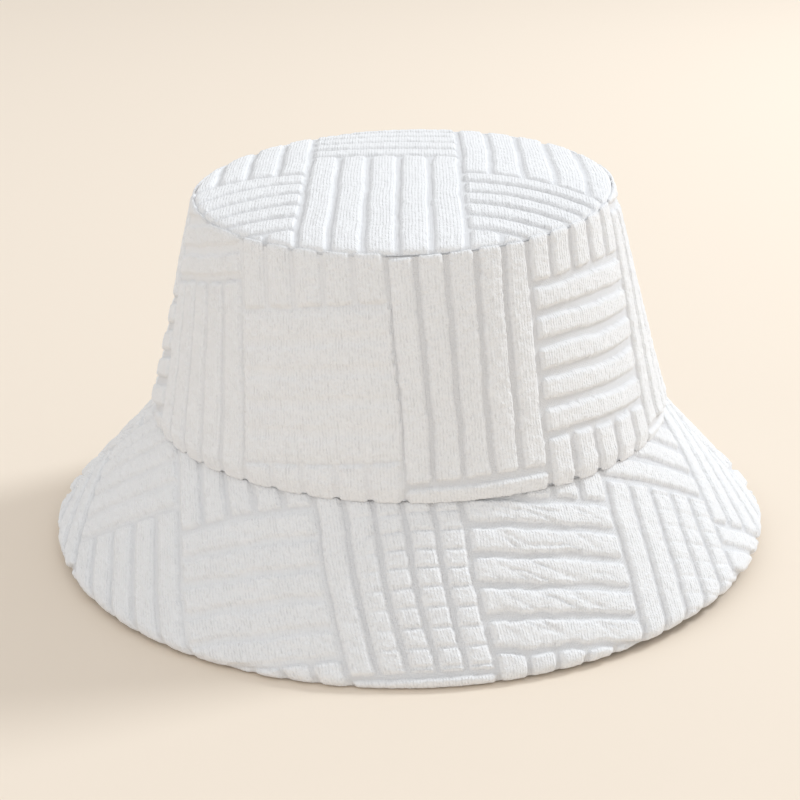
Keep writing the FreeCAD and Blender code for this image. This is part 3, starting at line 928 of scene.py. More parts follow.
@dataclass
class BrimUnder(HalfPanel):
    """One half of the brim's under cloth, from the sweatband out to the edge."""

    rows: int = 73
    columns: int = 361
    floor: float = 0.05 * MM

    OPENING = 92.4 * MM

    def build(self) -> bpy.types.Object:
        """Models the panel over the CAD's brim_under_front or brim_under_back."""
        form = self.form
        low_radius = form.edge_radius - form.brim_half * math.sin(form.brim_slope)
        low_height = form.edge_height - form.brim_half * math.cos(form.brim_slope)
        rise = (low_radius - self.OPENING) * math.tan(form.brim_slope)
        contour = Contour([(self.OPENING, low_height + rise + 0.4 * MM),
                           (low_radius - 1.0 * MM, low_height + 1.3 * MM),
                           (low_radius + 0.6 * MM, 0.35 * MM),
                           (form.edge_radius - 1.3 * MM, 0.25 * MM)], 0.5 * MM)
        share, angle, radius, height = self.laid(contour)
        spread = math.cos(form.brim_slope)
        seam_slant = form.seam_radius / spread
        along = share * contour.length
        flat = cone_cut(seam_slant + along, seam_slant, angle, spread)
        relief = self.weave.relief(-flat[0], flat[1])
        ends = np.minimum(along, contour.length - along)
        thickness = 0.5 * MM + 1.1 * MM * ease(0.5 * MM, 7 * MM, ends)
        return self.sewn("terry_brim_under", angle, radius, height, relief, thickness, ends)


@dataclass
class BrimInterlining:
    """One half of the stiff felt between the brim's two cloths."""

    form: HatForm
    half: Half
    thickness: float = 0.4 * MM
    rows: int = 12
    columns: int = 121

    SHORT = 1.9 * MM
    SEAM_GAP = 0.005

    def build(self) -> bpy.types.Object:
        """Models the sheet over the CAD's brim_interlining_front or brim_interlining_back."""
        low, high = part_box(f"brim_interlining_{self.half.value}")
        inner = self.form.seam_radius - self.SHORT
        share, angle = panel_grid(self.rows, self.columns, self.SEAM_GAP)
        radius = high.x - 0.4 * MM + (inner - high.x) * share
        height = low.z + 0.3 * MM + (high.z - low.z) * share
        points = self.form.settled(self.form.ring(radius, height, angle + self.half.turn))
        spread = math.cos(self.form.brim_slope)
        flat = cone_cut(radius / spread, self.form.seam_radius / spread, angle, spread)
        return thin_cloth(f"felt_brim_interlining_{self.half.value}", points, self.thickness, flat)


@dataclass
class SideLining:
    """One half of the cotton lining of the crown side, pulled to a slight wave by its stitches."""

    form: HatForm
    half: Half
    thickness: float = 0.5 * MM
    room: float = 0.2 * MM
    rows: int = 61
    columns: int = 241

    SEAM_GAP = 0.0015
    LOOSE_PART = 0.74
    WAVES = ((1.0, 24 * MM), (0.5, 8 * MM))
    WAVE, PUCKER, PUCKER_PITCH = 0.9 * MM, 0.10 * MM, 3.1 * MM

    def build(self) -> bpy.types.Object:
        """Models the panel over the CAD's lining_side_front or lining_side_back."""
        low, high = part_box(f"lining_side_{self.half.value}")
        foot_radius = high.x - self.thickness - self.room
        share, angle = panel_grid(self.rows, self.columns, self.SEAM_GAP)
        height = high.z + (low.z - high.z) * share
        radius = foot_radius - math.tan(self.form.wall_angle) * (height - low.z)
        spread = math.sin(self.form.wall_angle)
        flat = cone_cut(radius / spread, foot_radius / spread, angle, spread)
        loose = np.sin(np.pi * np.clip(share / self.LOOSE_PART, 0, 1))
        (broad, broad_cell), (fine, fine_cell) = self.WAVES
        wave = (broad * soft_noise(flat[0], flat[1], broad_cell, 31)
                + fine * soft_noise(flat[0], flat[1] * 0.4, fine_cell, 32))
        pucker = self.PUCKER * np.sin(flat[0] / self.PUCKER_PITCH) * notch(1 - loose, 0.35)
        radius = radius - np.abs(self.WAVE * wave * loose) - np.abs(pucker)
        points = self.form.settled(self.form.ring(radius, height, angle + self.half.turn))
        return thin_cloth(f"cotton_lining_side_{self.half.value}", points, self.thickness, flat)


@dataclass
class TipLining:
    """The round cotton lining under the tip, hanging a little in its middle."""

    form: HatForm
    thickness: float = 0.5 * MM
    count: int = 121
    sag: float = 1.6 * MM

    WAVE, WAVE_CELL = 0.5 * MM, 26 * MM
    PUCKER, PUCKERS = 0.25 * MM, 64

    def build(self) -> bpy.types.Object:
        """Models the disc over the CAD's lining_tip."""
        low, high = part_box("lining_tip")
        side = np.linspace(-1, 1, self.count)
        y, x = np.meshgrid(-side, side, indexing="ij")
        flat = (x * np.sqrt(1 - y * y / 2) * high.x, y * np.sqrt(1 - x * x / 2) * high.x)
        share = np.hypot(*flat) / high.x
        wave = self.WAVE * soft_noise(flat[0], flat[1], self.WAVE_CELL, 41)
        drop = (self.sag + wave) * (1 - share ** 2)
        pucker = self.PUCKER * np.sin(np.arctan2(flat[1], flat[0]) * self.PUCKERS) * ease(0.82, 1.0, share)
        points = np.stack([flat[0], flat[1], low.z - drop + pucker * (1 - share)], axis=-1)
        return thin_cloth("cotton_lining_tip", self.form.settled(points), self.thickness, flat)


@dataclass
class Sweatband:
    """The twill band round the head opening, with its thickness and rounded edges."""

    form: HatForm
    thickness: float = 1.2 * MM
    rows: int = 25
    columns: int = 361

    BEND = 57.0 * MM
    INNER_RADIUS = 91.2 * MM
    DENT, DENT_WIDTH, DENT_AT = 0.35 * MM, 0.9 * MM, 0.1
    WAVE, WAVE_CELL = 0.25 * MM, 4.0
    PRESSED = 0.9

    def contour(self) -> Contour:
        """The face that touches the head, from its top edge down to its foot."""
        low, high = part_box("sweatband")
        inner = high.x - self.thickness
        top = inner - math.tan(self.form.wall_angle) * (high.z - self.BEND)
        return Contour([(top, high.z), (inner, self.BEND), (inner, low.z)], 2.0 * MM)

    def build(self) -> bpy.types.Object:
        """Models the band over the CAD's sweatband."""
        contour = self.contour()
        shares, turns = np.linspace(0, 1, self.rows), np.linspace(0, 1, self.columns)
        share, turn = np.meshgrid(shares, turns, indexing="ij")
        radius, height = contour.at(share)
        angle = (turn - 0.5) * math.tau
        flat = (angle * self.INNER_RADIUS, -share * contour.length)
        dent = self.DENT * notch((share - self.DENT_AT) * contour.length, self.DENT_WIDTH)
        wave = self.WAVE * soft_noise(turn * NOISE_CELLS, share, self.WAVE_CELL, 51)
        radius = radius + dent + wave
        points = self.form.settled(self.form.ring(radius, height, angle))
        piece = thin_cloth("twill_sweatband", points, self.thickness * self.PRESSED, flat)
        seal_ring(piece)
        return piece


@dataclass
class CareLabel:
    """The blank satin label that hangs inside the back, with its ends slightly curled."""

    rows: int = 46
    columns: int = 25
    thickness: float = 0.25 * MM

    BACK_ROOM = 0.2 * MM
    CURL, WAVE = 0.9 * MM, 0.25 * MM
    EDGE = 0.06 * MM

    def build(self) -> bpy.types.Object:
        """Models the label over the CAD's care_label."""
        low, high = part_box("care_label")
        shares, places = np.linspace(0, 1, self.rows), np.linspace(-1, 1, self.columns)
        share, across = np.meshgrid(shares, places, indexing="ij")
        width, length = high.x - low.x, high.z - low.z
        flat = (-across * width / 2, share * length)
        curl = self.CURL * share ** 3 * (1 - 0.6 * across ** 2) + self.WAVE * np.sin(share * 5) * share
        points = np.stack([across * width / 2, high.y - self.BACK_ROOM - curl, high.z - share * length],
                          axis=-1)
        label = thin_cloth("satin_care_label", points, self.thickness, flat)
        edge = label.modifiers.new("edge", "BEVEL")
        edge.width = self.EDGE
        edge.segments = 2
        edge.limit_method = "ANGLE"
        bpy.ops.object.modifier_apply(modifier=edge.name)
        return label


@dataclass
class Stitching:
    """The hat's threads: every seam's own row of stitches.

    Attributes:
        form: the hat's shape.
        radius: the thread's radius.
        length: a stitch's length.
        gap: room between stitches.
        points_round: points of a path all round.
        points_up: points of a path up a side.
    """

    form: HatForm
    radius: float = 0.25 * MM
    length: float = 2.6 * MM
    gap: float = 0.7 * MM
    points_round: int = 721
    points_up: int = 60

    def ring(self, node: str, name: str, outward: float, up: float) -> bpy.types.Object:
        """A row of stitches all round, over a CAD thread ring.

        Args:
            node: the CAD's ring.
            name: the new piece's name.
            outward: how far the stitches face away from the axis.
            up: how far they face up.

        Returns:
            The row.
        """
        low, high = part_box(node)
        tube = (high.z - low.z) / 2
        angle = np.linspace(0, math.tau, self.points_round)
        path = self.form.settled(self.form.ring(high.x - tube, (high.z + low.z) / 2, angle))
        facing = self.form.ring(outward, up, angle)
        return stitch_row(name, path, facing, self.length, min(self.radius, tube), self.gap)

    def pair(self, node: str, name: str, slope: float) -> bpy.types.Object:
        """Two straight rows, one in each side seam, over a CAD pair of strands.

        Args:
            node: the CAD's pair.
            name: the new piece's name.
            slope: the strand's angle against the vertical.

        Returns:
            Both rows as one piece.
        """
        low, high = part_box(node)
        share = np.linspace(0, 1, self.points_up)
        height = low.z + self.radius + (high.z - low.z - 2 * self.radius) * share
        run = math.tan(slope) * (height - height[0])
        reach = high.x - self.radius - run
        rows = []
        for side in (-1, 1):
            path = np.stack([side * reach, 0 * reach, height], axis=1)
            facing = np.tile([side * math.cos(slope), 0.0, math.sin(slope)], (len(share), 1))
            rows.append(stitch_row(f"{name}_{side}", self.form.settled(path), facing,
                                   self.length, self.radius * 0.9, self.gap))
        return joined(rows, name)

    def label_row(self) -> bpy.types.Object:
        """The short row that holds the care label, over the CAD's care_label_stitches."""
        low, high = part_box("care_label_stitches")
        across = np.linspace(low.x + 0.5 * MM, high.x - 0.5 * MM, 40)
        level = 0 * across
        path = np.stack([across, level + (low.y + high.y) / 2, level + (low.z + high.z) / 2], axis=1)
        facing = np.tile([0.0, -1.0, 0.0], (len(across), 1))
        return stitch_row("thread_care_label", path, facing, 1.9 * MM, 0.15 * MM, 0.5 * MM)

    def topstitch(self) -> bpy.types.Object:
        """The row that holds the sweatband's top edge, over the CAD's sweatband_topstitch."""
        low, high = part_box("sweatband_topstitch")
        angle = np.linspace(0, math.tau, self.points_round)
        path = self.form.settled(self.form.ring(high.x, (low.z + high.z) / 2, angle))
        facing = self.form.ring(-1.0, -0.2, angle)
        return stitch_row("thread_sweatband", path, facing, 2.4 * MM, 0.22 * MM, 0.8 * MM)


# ------------------------------------------------------------------ finishes

class Wiring:
    """A shader's or a group's nodes, placed and joined by short calls."""

    def __init__(self, tree: bpy.types.NodeTree) -> None:
        """Starts in a node tree."""
        self.tree = tree

    def add(self, kind: str, **values: object) -> bpy.types.Node:
        """A new node with the given properties."""
        made = self.tree.nodes.new(kind)
        for name, value in values.items():
            setattr(made, name, value)
        return made

    def link(self, source: bpy.types.NodeSocket, target: bpy.types.NodeSocket) -> None:
        """Joins two sockets."""
        self.tree.links.new(source, target)

    def feed(self, target: bpy.types.NodeSocket, value: object) -> None:
        """Joins a socket to a target, or sets the target to a plain value."""
        if isinstance(value, bpy.types.NodeSocket):
            self.link(value, target)
        else:
            target.default_value = value

    def math(self, operation: str, *values: object) -> bpy.types.NodeSocket:
        """A Math node's result."""
        made = self.add("ShaderNodeMath", operation=operation)
        for socket, value in zip(made.inputs, values):
            self.feed(socket, value)
        return made.outputs[0]

    def patterned(self, group: bpy.types.NodeTree, place: bpy.types.NodeSocket) -> bpy.types.Node:
        """A shared group, read at a place on the flat cloth."""
        made = self.add("ShaderNodeGroup", node_tree=group)
        self.link(place, made.inputs["Place"])
        return made

    def mix(self, share: object, low: object, high: object) -> bpy.types.NodeSocket:
        """A number between two numbers."""
        made = self.add("ShaderNodeMix", data_type="FLOAT")
        for socket, value in zip(made.inputs[:1] + made.inputs[2:4], (share, low, high)):
            self.feed(socket, value)
        return made.outputs[0]

    def mix_colour(self, share: object, low: object, high: object) -> bpy.types.NodeSocket:
        """A colour between two colours."""
        made = self.add("ShaderNodeMix", data_type="RGBA")
        for socket, value in zip((made.inputs[0], made.inputs[6], made.inputs[7]), (share, low, high)):
            self.feed(socket, value)
        return made.outputs[2]


def new_group(name: str, inputs: dict[str, float | str], outputs: tuple[str, ...]
              ) -> tuple[Wiring, bpy.types.Node, bpy.types.Node]:
    """An empty shader group.

    Args:
        name: the group's name.
        inputs: each input's start value, or "vector" for a place.
        outputs: names of the values that it puts out.

    Returns:
        The group's wiring, its input node and its output node.
    """
    tree = bpy.data.node_groups.new(name, "ShaderNodeTree")
    for label, start in inputs.items():
        kind = "NodeSocketVector" if start == "vector" else "NodeSocketFloat"
        socket = tree.interface.new_socket(name=label, in_out="INPUT", socket_type=kind)
        if start != "vector":
            socket.default_value = start
    for label in outputs:
        tree.interface.new_socket(name=label, in_out="OUTPUT", socket_type="NodeSocketFloat")
    wiring = Wiring(tree)
    return wiring, wiring.add("NodeGroupInput"), wiring.add("NodeGroupOutput")


def plain_weave_group() -> bpy.types.NodeTree:
    """Warp and weft that pass over and under each other, as a height.

    Returns:
        A group from Place, Pitch and Twill, which turns the crossings into diagonals, to Height.
    """
    wiring, given, result = new_group(
        "plain_weave", {"Place": "vector", "Pitch": 0.0005, "Twill": 0.0}, ("Height",))
    scale = wiring.math("DIVIDE", math.pi, given.outputs["Pitch"])
    part = wiring.add("ShaderNodeSeparateXYZ")
    wiring.link(given.outputs["Place"], part.inputs[0])
    u = wiring.math("MULTIPLY", part.outputs[0], scale)
    v = wiring.math("MULTIPLY", part.outputs[1], scale)
    slanted = wiring.math("ADD", u, wiring.math("MULTIPLY", v, given.outputs["Twill"]))
    warp = wiring.math("ABSOLUTE", wiring.math("SINE", slanted))
    weft = wiring.math("ABSOLUTE", wiring.math("SINE", v))
    over = wiring.math("MULTIPLY", wiring.math("SINE", slanted), wiring.math("SINE", v))
    chosen = wiring.math("GREATER_THAN", over, 0.0)
    wiring.link(wiring.mix(chosen, warp, weft), result.inputs[0])
    return wiring.tree


def fibre_fuzz_group() -> bpy.types.NodeTree:
    """The unevenness of spun cotton.

    Returns:
        A group from Place to Fine, a mottle of single fibres, and Broad, a slow drift.
    """
    wiring, given, result = new_group("fibre_fuzz", {"Place": "vector"}, ("Fine", "Broad"))
    for output, (scale, detail) in enumerate(((2600.0, 3.0), (42.0, 2.0))):
        noise = wiring.add("ShaderNodeTexNoise")
        noise.inputs["Scale"].default_value = scale
        noise.inputs["Detail"].default_value = detail
        wiring.link(given.outputs["Place"], noise.inputs["Vector"])
        wiring.link(noise.outputs["Fac"], result.inputs[output])
    return wiring.tree


def looped_pile_group() -> bpy.types.NodeTree:
    """Terry loops that stand in close upright wales.

    Returns:
        A group from Place, Wale and Loop to Height, and Gap between the loops, which the terry finish
        darkens as painted shade.
    """
    wiring, given, result = new_group(
        "looped_pile", {"Place": "vector", "Wale": 0.0011, "Loop": 0.00075}, ("Height", "Gap"))
    drift = wiring.add("ShaderNodeTexNoise")
    drift.inputs["Scale"].default_value = 420.0
    wiring.link(given.outputs["Place"], drift.inputs["Vector"])
    part = wiring.add("ShaderNodeSeparateXYZ")
    wiring.link(given.outputs["Place"], part.inputs[0])
    bend = wiring.math("MULTIPLY", wiring.math("SUBTRACT", drift.outputs["Fac"], 0.5), 0.0006)
    u = wiring.math("DIVIDE", wiring.math("ADD", part.outputs[0], bend), given.outputs["Wale"])
    wale = wiring.math("ABSOLUTE", wiring.math("SINE", wiring.math("MULTIPLY", u, math.pi)))
    across = wiring.math("MULTIPLY", u, 2.0)
    along = wiring.math("DIVIDE", part.outputs[1], given.outputs["Loop"])
    place = wiring.add("ShaderNodeCombineXYZ")
    wiring.link(across, place.inputs[0])
    wiring.link(along, place.inputs[1])
    loops = wiring.add("ShaderNodeTexVoronoi", feature="F1", voronoi_dimensions="2D")
    loops.inputs["Scale"].default_value = 1.0
    wiring.link(place.outputs[0], loops.inputs["Vector"])
    tuft = wiring.math("SUBTRACT", 1.0, loops.outputs["Distance"])
    height = wiring.math("ADD", wiring.math("MULTIPLY", wale, 0.42), wiring.math("MULTIPLY", tuft, 0.58))
    wiring.link(height, result.inputs[0])
    wiring.link(wiring.math("MULTIPLY", wiring.math("SUBTRACT", 1.0, wale), loops.outputs["Distance"]),
                result.inputs[1])
    return wiring.tree


class Groups:
    """The node groups that several finishes share, each built once."""

    def __init__(self) -> None:
        """Builds them."""
        self.weave = plain_weave_group()
        self.fuzz = fibre_fuzz_group()
        self.pile = looped_pile_group()


Colour = tuple[float, float, float, float]
Pattern = tuple[bpy.types.NodeSocket, bpy.types.NodeSocket, tuple[float, float]]


@dataclass(frozen=True)
class Finish:
    """What all finishes share.

    Attributes:
        name: the material's name.
        colour: its colour where it stands out.
        shade: its colour painted in the gaps as shade, and for most finishes also the darker tone of a slow
            mottle.
        roughness: the roughness of the fibre.
        sheen: how strongly loose fibre ends glow.
        relief: height of the finest relief.
    """

    name: str
    colour: Colour
    shade: Colour
    roughness: float = 0.9
    sheen: float = 0.2
    relief: float = 0.12 * MM

    SHEEN_ROUGHNESS = 0.5
    GLOSS = 0.2

    def build(self, groups: Groups) -> bpy.types.Material:
        """Makes the material.

        Args:
            groups: the shared node groups.

        Returns:
            The material.
        """
        material = bpy.data.materials.new(self.name)
        material.use_nodes = True
        wiring = Wiring(material.node_tree)
        shader = next(n for n in wiring.tree.nodes if n.type == "BSDF_PRINCIPLED")
        shader.inputs["Sheen Weight"].default_value = self.sheen
        shader.inputs["Sheen Roughness"].default_value = self.SHEEN_ROUGHNESS
        shader.inputs["Specular IOR Level"].default_value = self.GLOSS
        place = wiring.add("ShaderNodeUVMap", uv_map="cloth").outputs[0]
        fuzz = wiring.patterned(groups.fuzz, place)
        height, dark, (smooth, rough) = self.pattern(wiring, groups, place, fuzz)
        bump = wiring.add("ShaderNodeBump")
        bump.inputs["Strength"].default_value = 1.0
        bump.inputs["Distance"].default_value = self.relief
        wiring.link(height, bump.inputs["Height"])
        wiring.link(bump.outputs[0], shader.inputs["Normal"])
        # Painted shade: the base colour leans to the shade colour in the pattern's gaps, and with the
        # fibre's slow mottle.
        wiring.link(wiring.mix_colour(dark, self.colour, self.shade), shader.inputs["Base Color"])
        wiring.link(wiring.mix(fuzz.outputs["Fine"], smooth, rough), shader.inputs["Roughness"])
        return material

    def pattern(self, wiring: Wiring, groups: Groups, place: bpy.types.NodeSocket,
                fuzz: bpy.types.Node) -> Pattern:
        """Pressed fibre with no weave, which the woven finishes replace with their own pattern.

        Args:
            wiring: the material's wiring.
            groups: the shared node groups.
            place: the place on the flat cloth.
            fuzz: the fibres' unevenness there.

        Returns:
            The height of the relief, the share of the shade colour (painted shade in the gaps, and a slow
            mottle, which is all that this plain pattern gives), and the least and the most roughness.
        """
        return fuzz.outputs["Fine"], fuzz.outputs["Broad"], (self.roughness - 0.1, 1.0)


@dataclass(frozen=True)
class TerryFinish(Finish):
    """Looped terry on the ribs, and the flat ground weave between them."""

    relief: float = 0.36 * MM
    wale: float = 1.1 * MM
    loop: float = 0.8 * MM
    ground_pitch: float = 0.55 * MM

    def pattern(self, wiring: Wiring, groups: Groups, place: bpy.types.NodeSocket,
                fuzz: bpy.types.Node) -> Pattern:
        """Loops where the pile stands and plain weave where it doesn't, with painted shade in the grooves
        and between the loops; see Finish.pattern.
        """
        pile, ground = wiring.patterned(groups.pile, place), wiring.patterned(groups.weave, place)
        pile.inputs["Wale"].default_value = self.wale
        pile.inputs["Loop"].default_value = self.loop
        ground.inputs["Pitch"].default_value = self.ground_pitch
        rib = wiring.add("ShaderNodeAttribute", attribute_name="pile").outputs["Fac"]
        on_rib = wiring.math("SMOOTH_MIN", wiring.math("MULTIPLY", rib, 2.5), 1.0, 0.2)
        height = wiring.mix(on_rib, wiring.math("MULTIPLY", ground.outputs[0], 0.35), pile.outputs["Height"])
        height = wiring.math("ADD", height, wiring.math("MULTIPLY", fuzz.outputs["Fine"], 0.3))
        # Painted shade: the grooves between ribs and the gaps between loops lean to the cool shade colour,
        # with a slow mottle of the fibre on top.
        painted_shade_and_mottle = wiring.math("MULTIPLY", wiring.math("SUBTRACT", 1.0, on_rib), 0.55)
        painted_shade_and_mottle = wiring.math("ADD", painted_shade_and_mottle, wiring.math("MULTIPLY", pile.outputs["Gap"], 0.5))
        painted_shade_and_mottle = wiring.math("ADD", painted_shade_and_mottle, wiring.math("MULTIPLY", fuzz.outputs["Broad"], 0.15))
        return height, painted_shade_and_mottle, (self.roughness - 0.08, 1.0)


@dataclass(frozen=True)
class WovenFinish(Finish):
    """A flat woven cloth: plain, twill or satin by its pitch and slant."""

    pitch: float = 0.45 * MM
    twill: float = 0.0

    def pattern(self, wiring: Wiring, groups: Groups, place: bpy.types.NodeSocket,
                fuzz: bpy.types.Node) -> Pattern:
        """Crossing yarns, with painted shade where they dip; see Finish.pattern."""
        weave = wiring.patterned(groups.weave, place)
        weave.inputs["Pitch"].default_value = self.pitch
        weave.inputs["Twill"].default_value = self.twill
        height = wiring.math("ADD", weave.outputs[0], wiring.math("MULTIPLY", fuzz.outputs["Fine"], 0.4))
        # Painted shade where the yarns dip, with a slow mottle of the fibre on top.
        dark = wiring.math("MULTIPLY", wiring.math("SUBTRACT", 1.0, weave.outputs[0]), 0.6)
        dark = wiring.math("ADD", dark, wiring.math("MULTIPLY", fuzz.outputs["Broad"], 0.3))
        return height, dark, (self.roughness - 0.1, self.roughness)


@dataclass(frozen=True)
class ThreadFinish(Finish):
    """Twisted sewing thread: fine slanted plies."""

    relief: float = 0.08 * MM
    ply: float = 0.35 * MM

    SLANT = 1.4

    def pattern(self, wiring: Wiring, groups: Groups, place: bpy.types.NodeSocket,
                fuzz: bpy.types.Node) -> Pattern:
        """Plies that wind round the thread, with painted shade between them; see Finish.pattern."""
        part = wiring.add("ShaderNodeSeparateXYZ")
        wiring.link(place, part.inputs[0])
        around = wiring.math("MULTIPLY", part.outputs[1], self.SLANT)
        slanted = wiring.math("ADD", part.outputs[0], around)
        turned = wiring.math("MULTIPLY", slanted, math.pi / self.ply)
        ply = wiring.math("ABSOLUTE", wiring.math("SINE", turned))
        # Painted shade in the grooves between the plies.
        dark = wiring.math("MULTIPLY", wiring.math("SUBTRACT", 1.0, ply), 0.7)
        return ply, dark, (self.roughness - 0.15, self.roughness)


# Each finish's second colour is its shade colour: painted shade for its gaps, a cool grey for the terry; the
# felt's is the darker tone of its mottle.
TERRY = TerryFinish("terry_white", (0.925, 0.93, 0.94, 1), (0.86, 0.865, 0.88, 1), roughness=0.95,
                    sheen=0.15)
INTERLINING = Finish("brim_interlining", (0.85, 0.84, 0.81, 1), (0.74, 0.73, 0.70, 1), relief=0.15 * MM)
LINING = WovenFinish("lining_cotton", (0.90, 0.89, 0.87, 1), (0.74, 0.73, 0.71, 1), pitch=0.5 * MM)
TWILL = WovenFinish("sweatband_twill", (0.91, 0.90, 0.88, 1), (0.68, 0.67, 0.65, 1), pitch=0.7 * MM,
                    twill=1.0, relief=0.2 * MM)
SATIN = WovenFinish("label_satin", (0.92, 0.92, 0.91, 1), (0.80, 0.80, 0.79, 1), roughness=0.42, sheen=0.4,
                    pitch=0.3 * MM, twill=0.35, relief=0.05 * MM)
THREAD = ThreadFinish("thread_white", (0.92, 0.92, 0.91, 1), (0.70, 0.70, 0.69, 1), roughness=0.65)


# ------------------------------------------------------------------ the studio

@dataclass(frozen=True)
class Viewpoint:
    """Where the camera stands and looks.

    Attributes:
        target: the point that it looks at.
        distance: how far away it stands.
        elevation: its angle above the floor.
        roll: how far it is turned about its own view.
        lens: its focal length, in millimetres, on a 36 mm sensor.
    """

    target: tuple[float, float, float] = (-3.6 * MM, 0.0, 47.2 * MM)
    distance: float = 0.620
    elevation: float = math.radians(21.55)
    roll: float = math.radians(-0.21)
    lens: float = 72.96

    def build(self) -> None:
        """Adds the camera."""
        forward = Vector((0, math.cos(self.elevation), -math.sin(self.elevation)))
        right = Vector((1, 0, 0))
        up = right.cross(forward)
        turned_right = math.cos(self.roll) * right + math.sin(self.roll) * up
        turned_up = turned_right.cross(forward)
        camera = bpy.data.objects.new("camera", bpy.data.cameras.new("camera"))
        bpy.context.scene.collection.objects.link(camera)
        camera.data.lens = self.lens
        camera.data.sensor_width = 36.0
        camera.data.clip_start = 0.01
        turned = Matrix((turned_right, turned_up, -forward)).transposed().to_4x4()
        camera.matrix_world = Matrix.Translation(Vector(self.target) - self.distance * forward) @ turned
        bpy.context.scene.camera = camera


@dataclass(frozen=True)
class Lamp:
    """A soft box light, aimed at the hat.

    Attributes:
        name: its name.
        direction: from the hat towards it.
        distance: how far away it stands.
        size: its side.
        power: its power, in watts.
        colour: its colour.
    """

    name: str
    direction: tuple[float, float, float]
    distance: float
    size: float
    power: float
    colour: tuple[float, float, float]

    def build(self) -> None:
        """Adds the light."""
        data = bpy.data.lights.new(self.name, "AREA")
        data.shape = "DISK"
        data.size = self.size
        data.energy = self.power
        data.color = self.colour
        lamp = bpy.data.objects.new(self.name, data)
        bpy.context.scene.collection.objects.link(lamp)
        toward = Vector(self.direction).normalized()
        lamp.location = toward * self.distance + Vector((0, 0, 0.07))
        lamp.rotation_mode = "QUATERNION"
        lamp.rotation_quaternion = toward.to_track_quat("Z", "Y")


@dataclass(frozen=True)
class Studio:
    """The plain floor, the pale air and the lights."""

    floor_size: float = 9.0
    floor_colour: Colour = (0.86, 0.755, 0.635, 1)
    air: Colour = (0.985, 0.985, 0.985, 1)
    air_strength: float = 0.785
    lamps: tuple[Lamp, ...] = (
        Lamp("key", (0.74, 0.36, 0.64), 2.4, 0.55, 29.5, (0.90, 0.95, 1.0)),
        Lamp("fill", (-0.9, -0.5, 0.5), 2.4, 1.8, 3.0, (0.97, 0.98, 1.0)),
    )

    def build(self) -> None:
        """Adds them all."""
        deselect_all()
        bpy.ops.mesh.primitive_plane_add(size=self.floor_size)
        floor = bpy.context.object
        floor.name = "floor"
        material = bpy.data.materials.new("floor_paint")
        material.use_nodes = True
        shader = material.node_tree.nodes["Principled BSDF"]
        shader.inputs["Base Color"].default_value = self.floor_colour
        shader.inputs["Roughness"].default_value = 0.9
        floor.data.materials.append(material)
        world = bpy.data.worlds.new("air")
        world.use_nodes = True
        background = world.node_tree.nodes["Background"]
        background.inputs["Color"].default_value = self.air
        background.inputs["Strength"].default_value = self.air_strength
        bpy.context.scene.world = world
        for lamp in self.lamps:
            lamp.build()
        bpy.context.scene.view_settings.view_transform = "Standard"


# ------------------------------------------------------------------ weaves of the hat's own panels

TIP_WEAVE = BasketWeave(edges=(-91 * MM, -35 * MM, 21 * MM, 77 * MM), column=56 * MM, block=56 * MM,
                        strip=100 * MM, foot=-58 * MM, rise=-0.105, rise_growth=0.0, lean=0.0,
                        lean_growth=0.0, middle=0.0, fan=9.0, depth=1.1 * MM, seed=3)
SIDE_WEAVES = {
    Half.FRONT: BasketWeave(edges=(-113 * MM, -60 * MM, -4 * MM, 46.5 * MM, 99 * MM), strip=79 * MM,
                            foot=-47.5 * MM, lying_groove=3.0 * MM, flattened=((0, 0.35), (1, 0.72)),
                            shifts=((0, -5 * MM), (1, -2.8 * MM), (3, -2.8 * MM)), seed=5),
    Half.BACK: BasketWeave(edges=(-82 * MM, -29 * MM, 24 * MM, 77 * MM), foot=6 * MM, rise=0.04,
                           rise_growth=0.3, lean=0.03, lean_growth=0.3, seed=6),
}
BRIM_WEAVES = {
    Half.FRONT: BasketWeave(edges=(-134 * MM, -81 * MM, -28 * MM, 21.4 * MM, 79 * MM, 132 * MM),
                            foot=10 * MM, rise=0.05, rise_growth=0.0, lean=0.2, lean_growth=0.0,
                            middle=-28 * MM, quilted=((2, 1.0), (4, 0.45)), crumpled=((1, 0.35), (3, 1.0)),
                            flattened=((0, 0.25), (1, 0.27)), shifts=((2, 3.3 * MM),), seed=7),
    Half.BACK: BasketWeave(edges=(-105 * MM, -52 * MM, 1 * MM, 54 * MM, 107 * MM), foot=-30 * MM,
                           rise=0.03, rise_growth=0.0, lean=0.1, lean_growth=0.0, middle=-28 * MM,
                           quilted=((1, 0.5),), crumpled=((2, 0.5), (4, 0.4)), seed=8),
}
UNDER_WEAVES = {
    Half.FRONT: BasketWeave(edges=(-90 * MM, -37 * MM, 16 * MM, 69 * MM), foot=-12 * MM, rise=0.03,
                            rise_growth=0.0, lean=0.05, lean_growth=0.0, middle=-28 * MM,
                            crumpled=((1, 0.4),), seed=9),
    Half.BACK: BasketWeave(edges=(-70 * MM, -17 * MM, 36 * MM, 89 * MM), foot=-40 * MM, rise=-0.02,
                           rise_growth=0.0, lean=0.04, lean_growth=0.0, middle=-28 * MM,
                           crumpled=((2, 0.4),), seed=10),
}


@dataclass
class Placing:
    """How a finished piece goes into the frame.

    Attributes:
        piece: the piece.
        finish: its material.
        slot: a material slot's name; not used.
        nodes: the CAD nodes that it stands for.
        body: the body that it rides on.
        sheet: flat size, hold, what it rests on and area, where it is a sheet of cloth; not used.
    """

    piece: bpy.types.Object
    finish: bpy.types.Material
    slot: str
    nodes: tuple[str, ...]
    body: str = HAT
    sheet: dict[str, object] = field(default_factory=dict)

    def settle_in(self) -> None:
        self.piece.data.materials.clear()
        self.piece.data.materials.append(self.finish)
        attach(self.piece, self.body)
        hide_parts(*self.nodes)
        LOG.info("%s: %d faces", self.piece.name, len(self.piece.data.polygons))


